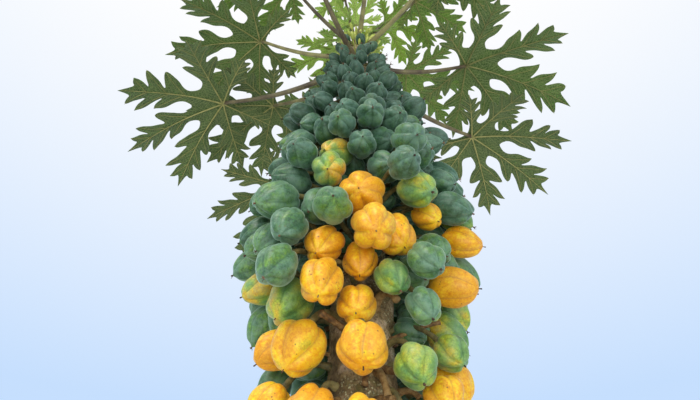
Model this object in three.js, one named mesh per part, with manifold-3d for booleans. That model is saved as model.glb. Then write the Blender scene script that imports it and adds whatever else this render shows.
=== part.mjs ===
// A mountain papaya tree: one soft-wooded stem, packed with five-ribbed fruit below a whorl of deeply
// cut leaves on long stalks. Millimetres, +Z up. The origin is the middle of the flat cut at ground
// level. Turns are degrees round the stem from +X towards +Y, so -Y is at 270.
import * as THREE from "three";
import { mergeVertices } from "three/addons/utils/BufferGeometryUtils.js";
import Module from "manifold-3d";

const wasm = await Module();
wasm.setup();

const clearance = 0.3; // air left where one piece grows out of another
const goldenTurn = 137.508; // from each fruit or leaf scar to the next one up

const stem = {
  height: 2935,
  foot: 78, // radius above the root flare
  waist: 57, // radius where the ripe fruit hang
  waistHeight: 2150,
  tip: 17, // radius just under the growing point
  flare: 42, // how far the root flare stands out at the ground
  flareHeight: 95,
  flareRidges: 5,
  lean: 21, // how far the fruiting part stands towards +X
  leanHeight: 1400,
  sway: 17, // the bow towards -Y half way up the bare part
  swayHeight: 1900,
  sides: 14,
  rings: 16,
  crowding: 1.35, // rings stand closer together near the ground
};

// What changes up the fruiting part: how far the fruit reach from the stem's axis, how thick each fruit
// is, how far below level it points, and how much of the shell of fruit is filled.
const fruitBand = [
  { height: 1660, reach: 120, girth: 62, droop: 66, share: 0.4 },
  { height: 1750, reach: 160, girth: 67, droop: 64, share: 0.45 },
  { height: 1870, reach: 196, girth: 68, droop: 60, share: 0.5 },
  { height: 2000, reach: 205, girth: 67, droop: 54, share: 0.66 },
  { height: 2080, reach: 223, girth: 66, droop: 48, share: 0.95 },
  { height: 2180, reach: 237, girth: 64, droop: 42, share: 1.12 },
  { height: 2310, reach: 203, girth: 60, droop: 32, share: 1.12 },
  { height: 2470, reach: 178, girth: 52, droop: 18, share: 1.05 },
  { height: 2580, reach: 158, girth: 42, droop: 8, share: 0.75 },
  { height: 2660, reach: 124, girth: 35, droop: 2, share: 0.62 },
  { height: 2790, reach: 94, girth: 29, droop: -6, share: 0.5 },
  { height: 2885, reach: 62, girth: 22, droop: -14, share: 0.36 },
];
const fruitRule = {
  lengthOverGirth: 1.32,
  furrow: 0.15, // depth, of the fruit's radius
  belly: 0.08, // how much wider the fruit is towards its stalk
  base: 0.46, // from the middle to where the stalk meets it, of the fruit's length
  lowest: 1690,
  highest: 2880,
  turning: 2010, // most of the fruit below this height have begun to turn
  ripening: 150, // and nearly all are ripe this much further down
  ripeSpread: 1.2,
  sizeSpread: 0.24,
  turnSpread: 16,
  droopSpread: 24,
  asideSpread: 30,
  depthSpread: 0.3, // how much deeper than its neighbours a fruit may sit, in girths
  rootSpread: 0.5, // how far up or down the bark a stalk's root may be, in girths
  crowded: 0.3, // of two fruit's girths: none is added this near to an old one
  crowdedBelow: 0.5, // the same where the fruit are scattered
  leftOut: [128, 154, 162, 167, 180], // they would stand in front of old fruit
  clearOfStem: 20,
  clearOfPetiole: 2,
  stalk: 4.6, // radius on the thickest fruit
  thickest: 80, // girth of the fruit with that stalk
};
const easing = {
  rounds: 150,
  air: 1.8, // left between two fruit
  near: 160, // fruit further up or down than this never touch
  push: 0.6, // of an overlap, in each round
  pull: 0.04, // back towards a fruit's own place, in the first rounds
  pullRounds: 0.6, // of all the rounds
  oldGives: 0.15, // of the push between an old fruit and a younger one
};
const fruitFacets = [
  { over: 69, sides: 10, bands: 3 },
  { over: 38, sides: 5, bands: 3 },
  { over: 0, sides: 5, bands: 2 },
];
// What a bunch of scattered fruit hangs from: a spur out of the stem, and a strip up the bark that its
// stalks leave.
const spur = { foot: 9, end: 6, inside: 3 };
const strip = { lift: 15, radius: 7.5, searchStep: 3, fromEdge: 12 };
// Where the fruit are packed, a bunch has a core that hugs the stem, and each fruit's neck is drawn in to
// it.
const core = {
  share: 0.3, // of the way from the bark to the fruit's furthest reach
  gap: 1.2, // between two cores
  steps: 4,
  sunk: 9, // how deep a neck's end is in the core
  fromEdge: 12, // how near the core's edge it may be
  neck: 0.6, // width where it meets the fruit, of the fruit's girth
};

// The fruit that ripened or turned first, and the large green ones beside them. ripe runs from 0, green,
// to 1, yellow. depth is how far in from the shell of the fruit one sits.
const oldFruit = [
  { turn: 269, height: 2141, girth: 84, droop: 34, ripe: 1, depth: 6 },
  { turn: 287, height: 2105, girth: 70, droop: 60, ripe: 1, depth: 42 },
  { turn: 275, height: 2069, girth: 78, droop: 46, ripe: 1 },
  { turn: 253, height: 2105, girth: 68, droop: 52, ripe: 1, depth: 30 },
  { turn: 282, height: 2066, girth: 62, droop: 70, ripe: 1, depth: 46 },
  { turn: 252, height: 1994, girth: 72, droop: 62, ripe: 1, depth: 4 },
  { turn: 256, height: 2001, girth: 66, droop: 50, ripe: 1, depth: 38 },
  { turn: 320, height: 2175, girth: 52, droop: 50, ripe: 0.95, depth: 45 },
  { turn: 349, height: 2173, girth: 64, droop: 22, ripe: 0.95 },
  { turn: 335, height: 2046, girth: 70, droop: 18, ripe: 1 },
  { turn: 217, height: 1879, girth: 88, droop: 66, ripe: 0.93 },
  { turn: 269, height: 1862, girth: 80, droop: 72, ripe: 1 },
  { turn: 190, height: 1936, girth: 70, droop: 44, ripe: 0.97 },
  { turn: 208, height: 1850, girth: 68, droop: 60, ripe: 0.9 },
  { turn: 350, height: 1880, girth: 76, droop: 50, ripe: 0.94 },
  { turn: 324, height: 1838, girth: 62, droop: 60, ripe: 0.97 },
  { turn: 268, height: 1786, girth: 66, droop: 62, ripe: 0.95 },
  { turn: 247, height: 2315, girth: 66, droop: 30, ripe: 0.62, depth: 22 },
  { turn: 251, height: 2220, girth: 64, droop: 44, ripe: 0.66, depth: 4 },
  { turn: 301, height: 2194, girth: 68, droop: 44, ripe: 0.42 },
  { turn: 218, height: 2022, girth: 76, droop: 58, ripe: 0.5 },
  { turn: 183, height: 2079, girth: 68, droop: 36, ripe: 0.68 },
  { turn: 301, height: 1856, girth: 68, droop: 62, ripe: 0.45 },
  { turn: 328, height: 1896, girth: 58, droop: 54, ripe: 0.3 },
  { turn: 351, height: 2226, girth: 60, droop: 36, ripe: 0.35 },
  { turn: 16, height: 2063, girth: 62, droop: 60, ripe: 0.4 },
  { turn: 288, height: 2042, girth: 56, droop: 64, ripe: 0.3, depth: 40 },
  { turn: 221, height: 2036, girth: 58, droop: 52, ripe: 0.12 },
  { turn: 257, height: 2103, girth: 64, droop: 24, ripe: 0.05 },
  { turn: 223, height: 2243, girth: 64, droop: 12, ripe: 0.03 },
  { turn: 300, height: 1974, girth: 56, droop: 60, ripe: 0.1 },
  { turn: 299, height: 2019, girth: 60, droop: 50, ripe: 0 },
  { turn: 288, height: 2258, girth: 66, droop: 38, ripe: 0, depth: 20 },
  { turn: 310, height: 2314, girth: 62, droop: 22, ripe: 0 },
];

// Leaves from the lowest blade up: where the stalk leaves the stem, how long and steep it is, how long the
// middle lobe is and how far the blade tips down.
const leafFacts = [
  { turn: 127, height: 2720, stalk: 342, rise: -17, blade: 262, tip: 20 },
  { turn: 27, height: 2776, stalk: 348, rise: -12, blade: 285, tip: 16 },
  { turn: 169, height: 2806, stalk: 362, rise: -11, blade: 292, tip: 18 },
  { turn: 80, height: 2792, stalk: 327, rise: 2, blade: 275, tip: 18 },
  { turn: 148, height: 2774, stalk: 275, rise: 12, blade: 268, tip: 14 },
  { turn: 6, height: 2804, stalk: 292, rise: 10, blade: 300, tip: 10 },
  { turn: 243, height: 2820, stalk: 322, rise: 22, blade: 280, tip: 12 },
  { turn: 104, height: 2838, stalk: 300, rise: 28, blade: 262, tip: 12 },
  { turn: 181, height: 2850, stalk: 270, rise: 16, blade: 276, tip: 8 },
  { turn: 316, height: 2866, stalk: 305, rise: 20, blade: 282, tip: 10 },
  { turn: 47, height: 2878, stalk: 262, rise: 34, blade: 232, tip: 10 },
  { turn: 278, height: 2888, stalk: 290, rise: 28, blade: 268, tip: 6 },
  { turn: 214, height: 2896, stalk: 240, rise: 30, blade: 225, tip: 10 },
  { turn: 345, height: 2904, stalk: 235, rise: 46, blade: 205, tip: 4 },
  { turn: 120, height: 2911, stalk: 190, rise: 52, blade: 178, tip: 2 },
  { turn: 24, height: 2918, stalk: 205, rise: 66, blade: 168, tip: -6 },
  { turn: 232, height: 2925, stalk: 165, rise: 74, blade: 140, tip: -14 },
];
const leafShape = {
  lobes: [
    { turn: -132, length: 0.6 }, // of the middle lobe
    { turn: -88, length: 0.82 },
    { turn: -43, length: 0.95 },
    { turn: 0, length: 1 },
    { turn: 43, length: 0.95 },
    { turn: 88, length: 0.82 },
    { turn: 132, length: 0.6 },
  ],
  backTurn: 30, // from the last lobe to the gap at the stalk
  baseLength: 0.1,
  sinusLength: 0.36,
  sideTurn: 13, // from a lobe's rib to its shoulder
  sideLength: 0.72, // of the lobe
  thickness: 0.0104, // of the length of stalk and blade
  sag: 0.2, // how far the tips hang, of the middle lobe
  stalkFoot: 8.5, // radius at the stem, on the longest stalk
  stalkEnd: 4.5,
  stalkSteps: 3,
  heartAhead: 12, // from the stalk's end to the middle of the blade
  footInside: 5, // how deep in the stem the stalk is taken to start
  bend: 0.09, // of the stalk's length that its middle hangs below a straight line
};
const longestStalk = Math.max(...leafFacts.map((leaf) => leaf.stalk));

// Where each tier of bunches starts, how many bunches stand round it and where the first one's middle is.
const tiers = [
  { from: 1640, bunches: 4, turn: 65 },
  { from: 1905, bunches: 4, turn: 95 },
  { from: 2060, bunches: 4, turn: 60, packed: true },
  { from: 2150, bunches: 5, turn: 66, packed: true },
  { from: 2245, bunches: 5, turn: 15, packed: true },
  { from: 2345, bunches: 4, turn: 46, packed: true },
  { from: 2455, bunches: 4, turn: 76, packed: true },
  { from: 2555, bunches: 4, turn: 45 },
  { from: 2690, bunches: 4, turn: 85 },
];
const topOfTiers = 2890;

const colours = {
  bark: 0x8a7458,
  greenFruit: 0x4f7d5c,
  ripeFruit: 0xe8ae2c,
  leaf: 0x4c7030,
};

const radians = THREE.MathUtils.degToRad;
const degrees = THREE.MathUtils.radToDeg;
const mix = THREE.MathUtils.lerp;
const { clamp, smoothstep } = THREE.MathUtils;

// A number from 0 to 1 that is the same each time for the same pair.
function chance(i, k) {
  const s = Math.sin(i * 12.9898 + k * 78.233) * 43758.5453;
  return s - Math.floor(s);
}

function spread(i, k, width) {
  return (chance(i, k) - 0.5) * width;
}

function along(stations, height, fact) {
  const next = stations.findIndex((s) => s.height >= height);
  if (next === 0) return stations[0][fact];
  if (next < 0) return stations.at(-1)[fact];
  const [low, high] = [stations[next - 1], stations[next]];
  return mix(low[fact], high[fact], (height - low.height) / (high.height - low.height));
}

function stemMiddle(height) {
  const bow = Math.sin((Math.PI * Math.min(height, stem.swayHeight)) / stem.swayHeight);
  return new THREE.Vector3(
    stem.lean * smoothstep(height, 0, stem.leanHeight),
    -stem.sway * bow,
    height,
  );
}

function stemRadius(height) {
  const low = Math.min(height / stem.waistHeight, 1);
  const high = Math.max((height - stem.waistHeight) / (stem.height - stem.waistHeight), 0);
  const bare = mix(stem.foot, stem.waist, low ** 0.8);
  return bare - (stem.waist - stem.tip) * high ** 1.6;
}

function flareAt(height, turn) {
  const ridge = 1 + 0.3 * Math.cos(stem.flareRidges * turn + 0.6);
  return stem.flare * ridge * Math.exp(-height / stem.flareHeight);
}

// A unit vector that points away from the stem at this turn, and up by this rise.
function away(turn, rise = 0) {
  const [t, r] = [radians(turn), radians(rise)];
  return new THREE.Vector3(Math.cos(t) * Math.cos(r), Math.sin(t) * Math.cos(r), Math.sin(r));
}

function turnOf(point) {
  const middle = stemMiddle(point.z);
  return degrees(Math.atan2(point.y - middle.y, point.x - middle.x));
}

function fromStem(point) {
  const middle = stemMiddle(point.z);
  return Math.hypot(point.x - middle.x, point.y - middle.y);
}

// Solids: each three.js geometry is closed, so it becomes a manifold once its seams are merged.
function solid(geometry) {
  const bare = geometry.clone();
  bare.deleteAttribute("normal");
  bare.deleteAttribute("uv");
  const merged = mergeVertices(bare, 1e-4);
  return new wasm.Manifold(
    new wasm.Mesh({
      numProp: 3,
      vertProperties: merged.attributes.position.array,
      triVerts: new Uint32Array(merged.index.array),
    }),
  );
}

// The largest body of the pieces joined: scraps that a cut left loose are dropped.
function joined(pieces) {
  const whole = pieces.reduce((sum, piece) => sum.add(piece));
  return whole.decompose().sort((a, b) => b.volume() - a.volume())[0];
}

function named(name, manifold, colour) {
  const mesh = manifold.getMesh();
  const geometry = new THREE.BufferGeometry();
  geometry.setAttribute("position", new THREE.BufferAttribute(mesh.vertProperties, 3));
  geometry.setIndex(new THREE.BufferAttribute(mesh.triVerts, 1));
  const material = new THREE.MeshStandardMaterial({ color: colour, roughness: 0.6, metalness: 0 });
  const part = new THREE.Mesh(geometry, material);
  part.name = name;
  return part;
}

function movePoints(geometry, place) {
  const position = geometry.attributes.position;
  const point = new THREE.Vector3();
  for (let i = 0; i < position.count; i++) {
    point.fromBufferAttribute(position, i);
    const moved = place(point);
    position.setXYZ(i, moved.x, moved.y, moved.z);
  }
  return geometry;
}

// A tapering limb through a few points.
function limb(points, startRadius, endRadius, sides) {
  const steps = points.length - 1;
  const geometry = new THREE.CylinderGeometry(1, 1, 1, sides, steps);
  movePoints(geometry, (p) => {
    const step = Math.round((p.y + 0.5) * steps);
    const ahead = points[Math.min(step + 1, steps)].clone();
    const run = ahead.sub(points[Math.max(step - 1, 0)]).normalize();
    const side = new THREE.Vector3(0, 0, 1).cross(run);
    if (side.lengthSq() < 1e-4) side.set(1, 0, 0);
    side.normalize();
    const over = run.clone().cross(side);
    const radius = mix(startRadius, endRadius, step / steps);
    return points[step]
      .clone()
      .addScaledVector(side, p.z * radius)
      .addScaledVector(over, p.x * radius);
  });
  return solid(geometry);
}

// The stem from its flat cut to its tip, or the space it takes with some room round it.
function makeStem(room = 0) {
  const geometry = new THREE.CylinderGeometry(1, 1, 1, stem.sides, stem.rings);
  movePoints(geometry, (p) => {
    const height = stem.height * (p.y + 0.5) ** stem.crowding;
    const turn = Math.atan2(-p.z, p.x);
    const onAxis = Math.hypot(p.x, p.z) < 0.5;
    const radius = onAxis ? 0 : stemRadius(height) + flareAt(height, turn) + room;
    return stemMiddle(height).add(away(degrees(turn)).multiplyScalar(radius));
  });
  return solid(geometry);
}

function atBark(turn, height, lift) {
  return stemMiddle(height).add(away(turn).multiplyScalar(stemRadius(height) + lift));
}

// A leaf's stalk, from inside the stem to the heart of the blade.
function petiolePoints(leaf) {
  const start = atBark(leaf.turn, leaf.height, -leafShape.footInside);
  const end = start.clone().addScaledVector(away(leaf.turn, leaf.rise), leaf.stalk);
  const level = Math.cos(radians(leaf.rise));
  return Array.from({ length: leafShape.stalkSteps + 1 }, (_, i) => {
    const share = i / leafShape.stalkSteps;
    const point = start.clone().lerp(end, share);
    point.z -= leaf.stalk * level * leafShape.bend * Math.sin(Math.PI * share);
    return point;
  });
}

function nearestOn(start, end, point) {
  const run = end.clone().sub(start);
  const share = point.clone().sub(start).dot(run) / run.lengthSq();
  return start.clone().addScaledVector(run, clamp(share, 0, 1));
}

const petioleSpans = leafFacts.flatMap((leaf) => {
  const points = petiolePoints(leaf);
  return points.slice(1).map((end, i) => ({ start: points[i], end }));
});

// How far a straight run stays from every leaf's stalk, and the way out where it comes too near.
function wayOutOfPetioles(start, end) {
  let least = Infinity;
  const wayOut = new THREE.Vector3();
  for (const span of petioleSpans) {
    for (let share = 0; share <= 1; share += 0.125) {
      const point = start.clone().lerp(end, share);
      const off = point.sub(nearestOn(span.start, span.end, point));
      if (off.length() >= least) continue;
      least = off.length();
      wayOut.copy(off).normalize();
    }
  }
  return { least, wayOut };
}

// How far a fruit reaches from its middle in a direction, as an egg of its length and girth.
function fruitReach(fruit, direction) {
  const lengthwise = direction.dot(fruit.axis) ** 2;
  const [long, wide] = [fruit.length / 2, fruit.girth / 2];
  return Math.sqrt(long * long * lengthwise + wide * wide * (1 - lengthwise));
}

function coreThickness(height) {
  return core.share * (along(fruitBand, height, "reach") - stemRadius(height));
}

function stalkEnd(fruit) {
  return fruit.middle.clone().addScaledVector(fruit.axis, -fruit.length * fruitRule.base);
}

// A fruit's own stalk or neck: where it leaves its bunch's strip or core, and where it meets the fruit.
function stalkOf(fruit) {
  const end = stalkEnd(fruit);
  const { packed, turn, halfSpan, from, to } = fruit.bunch;
  const edge = packed ? core.fromEdge : strip.fromEdge;
  const drop = packed ? 0 : fruit.rootDrop;
  const height = clamp(end.z - drop, from + edge, to - edge);
  if (!packed) return { start: atBark(turn, height, strip.lift), end };
  const most = halfSpan - degrees(core.fromEdge / stemRadius(height));
  const ownTurn = turn + clamp(turnGap(turn, turnOf(end)), -most, most);
  return { start: atBark(ownTurn, height, coreThickness(height) - core.sunk), end };
}

const turnGap = (from, to) => ((((to - from) % 360) + 540) % 360) - 180;

// The bunches of a tier stand at even turns. A strip is shifted as little as clears the leaves' stalks.
function layOutBunches() {
  const room = strip.radius + leafShape.stalkFoot + 1;
  return tiers.flatMap(({ from, bunches, turn: firstTurn, packed }, i) => {
    const to = tiers[i + 1]?.from ?? topOfTiers;
    return Array.from({ length: bunches }, (_, k) => {
      const middle = firstTurn + (360 / bunches) * k;
      const free = (turn) => {
        const ends = [from, to].map((height) => atBark(turn, height, strip.lift));
        return packed || wayOutOfPetioles(...ends).least > room;
      };
      let shift = 0;
      while (!free(middle + shift) && Math.abs(shift) < 180 / bunches)
        shift = shift > 0 ? -shift : strip.searchStep - shift;
      const name = `fruit_bunch_${i + 1}${"abcdef"[k]}`;
      return { name, packed, turn: middle + shift, halfSpan: 180 / bunches, from, to };
    });
  });
}

const layout = layOutBunches();

// Turns a fruit to point away from the stem, and gives it to the bunch that its stalk is nearest to.
function aim(fruit) {
  fruit.axis = away(turnOf(fruit.middle) + fruit.aside, -fruit.droop);
  const end = stalkEnd(fruit);
  const turn = turnOf(end);
  const far = (bunch) => {
    const off = Math.max(bunch.from - end.z, end.z - bunch.to, 0);
    return Math.abs(turnGap(bunch.turn, turn)) + off * 10;
  };
  fruit.bunch = layout.reduce((best, bunch) => (far(bunch) < far(best) ? bunch : best));
}

function newFruit(facts, number) {
  const { turn, height, girth, depth } = facts;
  const length = girth * fruitRule.lengthOverGirth;
  const fruit = { ...facts, length, number };
  fruit.aside = spread(number, 1, fruitRule.asideSpread);
  fruit.rootDrop = girth * (0.07 + spread(number, 2, fruitRule.rootSpread));
  fruit.roll = chance(number, 3) * 72;
  const droop = radians(facts.droop);
  const outer = Math.hypot((length / 2) * Math.cos(droop), (girth / 2) * Math.sin(droop));
  const least = stemRadius(height) + fruitRule.clearOfStem + girth * 0.55;
  fruit.out = Math.max(along(fruitBand, height, "reach") - outer - depth, least);
  fruit.middle = stemMiddle(height).add(away(turn).multiplyScalar(fruit.out));
  fruit.home = fruit.middle.clone();
  aim(fruit);
  return fruit;
}

// Old fruit keep to their listed places. The rest climb the stem by the golden turn, each taking its own
// share of the shell, and are then eased apart.
function placeFruit() {
  const fruits = oldFruit.map((facts, i) => newFruit({ depth: 0, ...facts, old: true }, i));
  let height = fruitRule.lowest;
  for (let number = 100; height < fruitRule.highest; number++) {
    const usual = along(fruitBand, height, "girth");
    const girth = usual * (1 + spread(number, 4, fruitRule.sizeSpread));
    const depth = girth * chance(number, 5) * fruitRule.depthSpread;
    const turn = number * goldenTurn + spread(number, 6, fruitRule.turnSpread);
    const droop = along(fruitBand, height, "droop") + spread(number, 7, fruitRule.droopSpread);
    const lower = (fruitRule.turning - height) / fruitRule.ripening;
    const ripe = clamp(lower + spread(number, 8, fruitRule.ripeSpread), 0, 1);
    const fruit = newFruit({ turn, height, girth, droop, ripe, depth }, number);
    const crowded = fruit.bunch.packed ? fruitRule.crowded : fruitRule.crowdedBelow;
    const crowds = fruits.some(
      (f) => f.old && f.middle.distanceTo(fruit.middle) < (f.girth + girth) * crowded,
    );
    if (!crowds) fruits.push(fruit);
    const ring = 2 * Math.PI * Math.max(fruit.out, stemRadius(height) + girth * 0.6);
    height += (usual * usual) / (ring * along(fruitBand, height, "share"));
  }
  easeApart(fruits);
  return fruits.filter((f) => clearOfLeaves(f) && !fruitRule.leftOut.includes(f.number));
}

// A neck widens evenly from the core to the fruit.
function stalkRadius(fruit, { start, end }, point) {
  if (!fruit.bunch.packed) return fruitRule.stalk;
  return (core.neck * fruit.girth * point.distanceTo(start)) / (2 * end.distanceTo(start));
}

function easeApart(fruits) {
  for (let round = 0; round < easing.rounds; round++) {
    const moves = fruits.map(() => new THREE.Vector3());
    const stalks = fruits.map(stalkOf);
    // Fruit j is pushed off fruit i, and i off j; an old fruit hardly gives way to a younger one.
    const pushApart = (i, j, off, room) => {
      const overlap = room - off.length();
      if (overlap <= 0) return;
      const alike = fruits[i].old === fruits[j].old;
      const share = alike ? 0.5 : fruits[i].old ? easing.oldGives : 1 - easing.oldGives;
      off.normalize();
      moves[i].addScaledVector(off, -overlap * share * easing.push);
      moves[j].addScaledVector(off, overlap * (1 - share) * easing.push);
    };
    fruits.forEach((a, i) => {
      fruits.forEach((b, j) => {
        if (i === j || Math.abs(a.middle.z - b.middle.z) > easing.near) return;
        if (i < j) {
          const apart = b.middle.clone().sub(a.middle);
          const direction = apart.clone().normalize();
          const room = fruitReach(a, direction) + fruitReach(b, direction) + easing.air;
          pushApart(i, j, apart, room);
        }
        const near = nearestOn(stalks[i].start, stalks[i].end, b.middle);
        const off = b.middle.clone().sub(near);
        const way = off.clone().normalize();
        const thick = stalkRadius(a, stalks[i], near);
        pushApart(i, j, off, fruitReach(b, way) + thick + easing.air);
      });
      const body = wayOutOfPetioles(a.middle, a.middle);
      const bodyRoom = fruitReach(a, body.wayOut) + leafShape.stalkFoot + fruitRule.clearOfPetiole;
      moves[i].addScaledVector(body.wayOut, Math.max(bodyRoom - body.least, 0) * easing.push);
      const stalk = wayOutOfPetioles(stalks[i].start, stalks[i].end);
      const stalkRoom = fruitRule.stalk + leafShape.stalkFoot + fruitRule.clearOfPetiole;
      moves[i].addScaledVector(stalk.wayOut, Math.max(stalkRoom - stalk.least, 0) * easing.push);
    });
    const fade = 1 - round / (easing.rounds * easing.pullRounds);
    const pull = Math.max(fade, 0) * easing.pull;
    fruits.forEach((fruit, i) => {
      fruit.middle.add(moves[i]).lerp(fruit.home, fruit.old ? pull * 2 : pull);
      const outward = away(turnOf(fruit.middle));
      const least =
        stemRadius(fruit.middle.z) + fruitRule.clearOfStem + fruitReach(fruit, outward);
      fruit.middle.addScaledVector(outward, Math.max(least - fromStem(fruit.middle), 0));
      aim(fruit);
    });
  }
}

function clearOfLeaves(fruit) {
  const { start, end } = stalkOf(fruit);
  const body = wayOutOfPetioles(fruit.middle, fruit.middle);
  const stalk = wayOutOfPetioles(start, end);
  const room = leafShape.stalkFoot + fruitRule.clearOfPetiole;
  return (
    body.least > fruitReach(fruit, body.wayOut) + room && stalk.least > fruitRule.stalk + room
  );
}

// A fruit's skin: widest nearer the stalk, drawn out to a point, with five ribs between five furrows.
function fruitSkin(fruit) {
  const kind = fruitFacets.find((f) => fruit.girth > f.over);
  const geometry = new THREE.SphereGeometry(1, kind.sides, kind.bands);
  const side = new THREE.Vector3(0, 0, 1).cross(fruit.axis).normalize();
  const over = fruit.axis.clone().cross(side);
  movePoints(geometry, (p) => {
    const turn = Math.atan2(p.z, p.x);
    if (fruit.bunch.packed && p.y > 0.99) return stalkOf(fruit).start;
    const rib = 1 - fruitRule.furrow * (1 - Math.abs(Math.cos(2.5 * turn)));
    const belly = 1 + fruitRule.belly * p.y;
    const radius = (Math.hypot(p.x, p.z) * belly * rib * fruit.girth) / 2;
    const angle = turn + radians(fruit.roll);
    return fruit.middle
      .clone()
      .addScaledVector(fruit.axis, (-p.y * fruit.length) / 2)
      .addScaledVector(side, Math.cos(angle) * radius)
      .addScaledVector(over, Math.sin(angle) * radius);
  });
  return solid(geometry);
}

// A block that hugs the stem behind the packed fruit of one bunch. It's cut to the bark.
function makeCore({ turn, halfSpan, from, to }) {
  const geometry = new THREE.BoxGeometry(1, 1, 1, core.steps, 1, 1);
  movePoints(geometry, (p) => {
    const height = mix(from + core.gap / 2, to - core.gap / 2, p.y + 0.5);
    const bark = stemRadius(height);
    const radius = p.z > 0 ? bark + coreThickness(height) : bark * 0.9;
    const half = halfSpan - degrees(core.gap / bark / 2);
    return stemMiddle(height).add(away(turn + 2 * half * p.x).multiplyScalar(radius));
  });
  return solid(geometry);
}

// A strip up the bark and the spur that it stands on, which is cut to the bark.
function makeStrip(turn, heights) {
  const low = Math.min(...heights) - strip.radius;
  const high = Math.max(...heights) + strip.radius;
  const foot = [-spur.inside, strip.lift].map((lift) => atBark(turn, (low + high) / 2, lift));
  const ends = [low, high].map((height) => atBark(turn, height, strip.lift));
  return limb(ends, strip.radius, strip.radius, 3).add(limb(foot, spur.foot, spur.end, 3));
}

function makeBunch(fruits) {
  const { bunch } = fruits[0];
  const skins = fruits.map(fruitSkin);
  if (bunch.packed) return joined([makeCore(bunch).subtract(stemRoom), ...skins]);
  const stalks = fruits.map(stalkOf);
  const strips = makeStrip(bunch.turn, stalks.map((s) => s.start.z));
  const limbs = fruits.map((fruit, i) => {
    const { start, end } = stalks[i];
    const thick = fruitRule.stalk * mix(0.5, 1, fruit.girth / fruitRule.thickest);
    const into = end.clone().addScaledVector(fruit.axis, fruit.length * 0.2);
    return limb([start, into], thick * 0.7, thick, 3);
  });
  return joined([strips.subtract(stemRoom), ...skins, ...limbs]);
}

// The blade's edge as turns and lengths: each lobe has a tip and a shoulder on each side of it.
function leafEdge() {
  const { lobes, backTurn, baseLength, sinusLength, sideTurn, sideLength } = leafShape;
  const edge = [{ turn: lobes[0].turn - backTurn, length: baseLength }];
  lobes.forEach(({ turn, length }, i) => {
    edge.push({ turn: turn - sideTurn, length: length * sideLength });
    edge.push({ turn, length });
    edge.push({ turn: turn + sideTurn, length: length * sideLength });
    const next = lobes[i + 1];
    edge.push(
      next
        ? { turn: (turn + next.turn) / 2, length: sinusLength }
        : { turn: turn + backTurn, length: baseLength },
    );
  });
  return edge;
}

function makeLeaf(leaf) {
  const points = petiolePoints(leaf);
  const slim = Math.sqrt(leaf.stalk / longestStalk);
  const petiole = limb(points, leafShape.stalkFoot * slim, leafShape.stalkEnd * slim, 4);
  const edge = leafEdge();
  const thick = (leaf.stalk + leaf.blade) * leafShape.thickness;
  const forward = away(leaf.turn, -leaf.tip);
  const side = new THREE.Vector3(0, 0, 1).cross(forward).normalize();
  const up = forward.clone().cross(side);
  const blade = new THREE.CylinderGeometry(1, 1, 1, edge.length, 1);
  movePoints(blade, (p) => {
    const rim = Math.hypot(p.x, p.z) > 0.5;
    const place = Math.round((Math.atan2(-p.z, p.x) / (2 * Math.PI)) * edge.length);
    const spot = edge[(place + edge.length) % edge.length];
    const share = rim ? spot.length : 0;
    const reach = share * leaf.blade;
    return points
      .at(-1)
      .clone()
      .addScaledVector(forward, leafShape.heartAhead + reach * Math.cos(radians(spot.turn)))
      .addScaledVector(side, reach * Math.sin(radians(spot.turn)))
      .addScaledVector(up, p.y * thick - leafShape.sag * reach * share);
  });
  return joined([petiole.subtract(stemRoom), solid(blade)]);
}

const stemRoom = makeStem(clearance);
const tree = new THREE.Group();
tree.name = "mountain_papaya_tree";
tree.add(named("stem", makeStem(), colours.bark));
leafFacts.forEach((leaf, i) => {
  tree.add(named(`leaf_${String(i + 1).padStart(2, "0")}`, makeLeaf(leaf), colours.leaf));
});
const bunches = Map.groupBy(placeFruit(), (fruit) => fruit.bunch.name);
for (const name of [...bunches.keys()].sort()) {
  const fruits = bunches.get(name);
  const ripe = fruits.reduce((sum, fruit) => sum + fruit.ripe, 0) / fruits.length;
  tree.add(named(name, makeBunch(fruits), ripe > 0.5 ? colours.ripeFruit : colours.greenFruit));
}

export default tree;
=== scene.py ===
import bpy
import numpy as np
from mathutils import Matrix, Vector
from mathutils.geometry import delaunay_2d_cdt


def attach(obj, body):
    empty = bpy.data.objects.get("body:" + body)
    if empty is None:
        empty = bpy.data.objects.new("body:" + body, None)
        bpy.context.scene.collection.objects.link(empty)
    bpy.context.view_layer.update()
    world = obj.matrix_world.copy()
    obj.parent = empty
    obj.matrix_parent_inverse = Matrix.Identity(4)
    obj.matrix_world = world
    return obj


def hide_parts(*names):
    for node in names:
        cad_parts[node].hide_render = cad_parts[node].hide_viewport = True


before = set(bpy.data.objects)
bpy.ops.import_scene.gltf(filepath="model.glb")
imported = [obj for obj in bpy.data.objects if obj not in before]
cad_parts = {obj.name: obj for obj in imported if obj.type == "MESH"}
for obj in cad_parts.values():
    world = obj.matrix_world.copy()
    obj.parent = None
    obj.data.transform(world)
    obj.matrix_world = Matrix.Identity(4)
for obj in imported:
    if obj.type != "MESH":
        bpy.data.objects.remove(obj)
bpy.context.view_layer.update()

# Lengths here are millimetres, as in the part's source, and each mesh is made in metres. Turns are degrees
# round the stem from +X towards +Y, so -Y is at 270.
mm = 0.001
goldenTurn = 137.508  # from each fruit or leaf scar to the next one up
ribCount = 5  # on each fruit
ribTurn = 360 / ribCount
upward = np.array([0.0, 0.0, 1.0])


def report(stage):
    print("[papaya]", stage, flush=True)


# A number from 0 to 1 that is the same each time for the same pair.
def chance(i, k):
    s = np.sin(np.asarray(i) * 12.9898 + np.asarray(k) * 78.233) * 43758.5453
    return s - np.floor(s)


def spread(i, k, width):
    return (chance(i, k) - 0.5) * width


def mix(a, b, share):
    return a + (b - a) * share


def smooth(x, low, high):
    t = np.clip((np.asarray(x, float) - low) / (high - low), 0, 1)
    return t * t * (3 - 2 * t)


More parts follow.
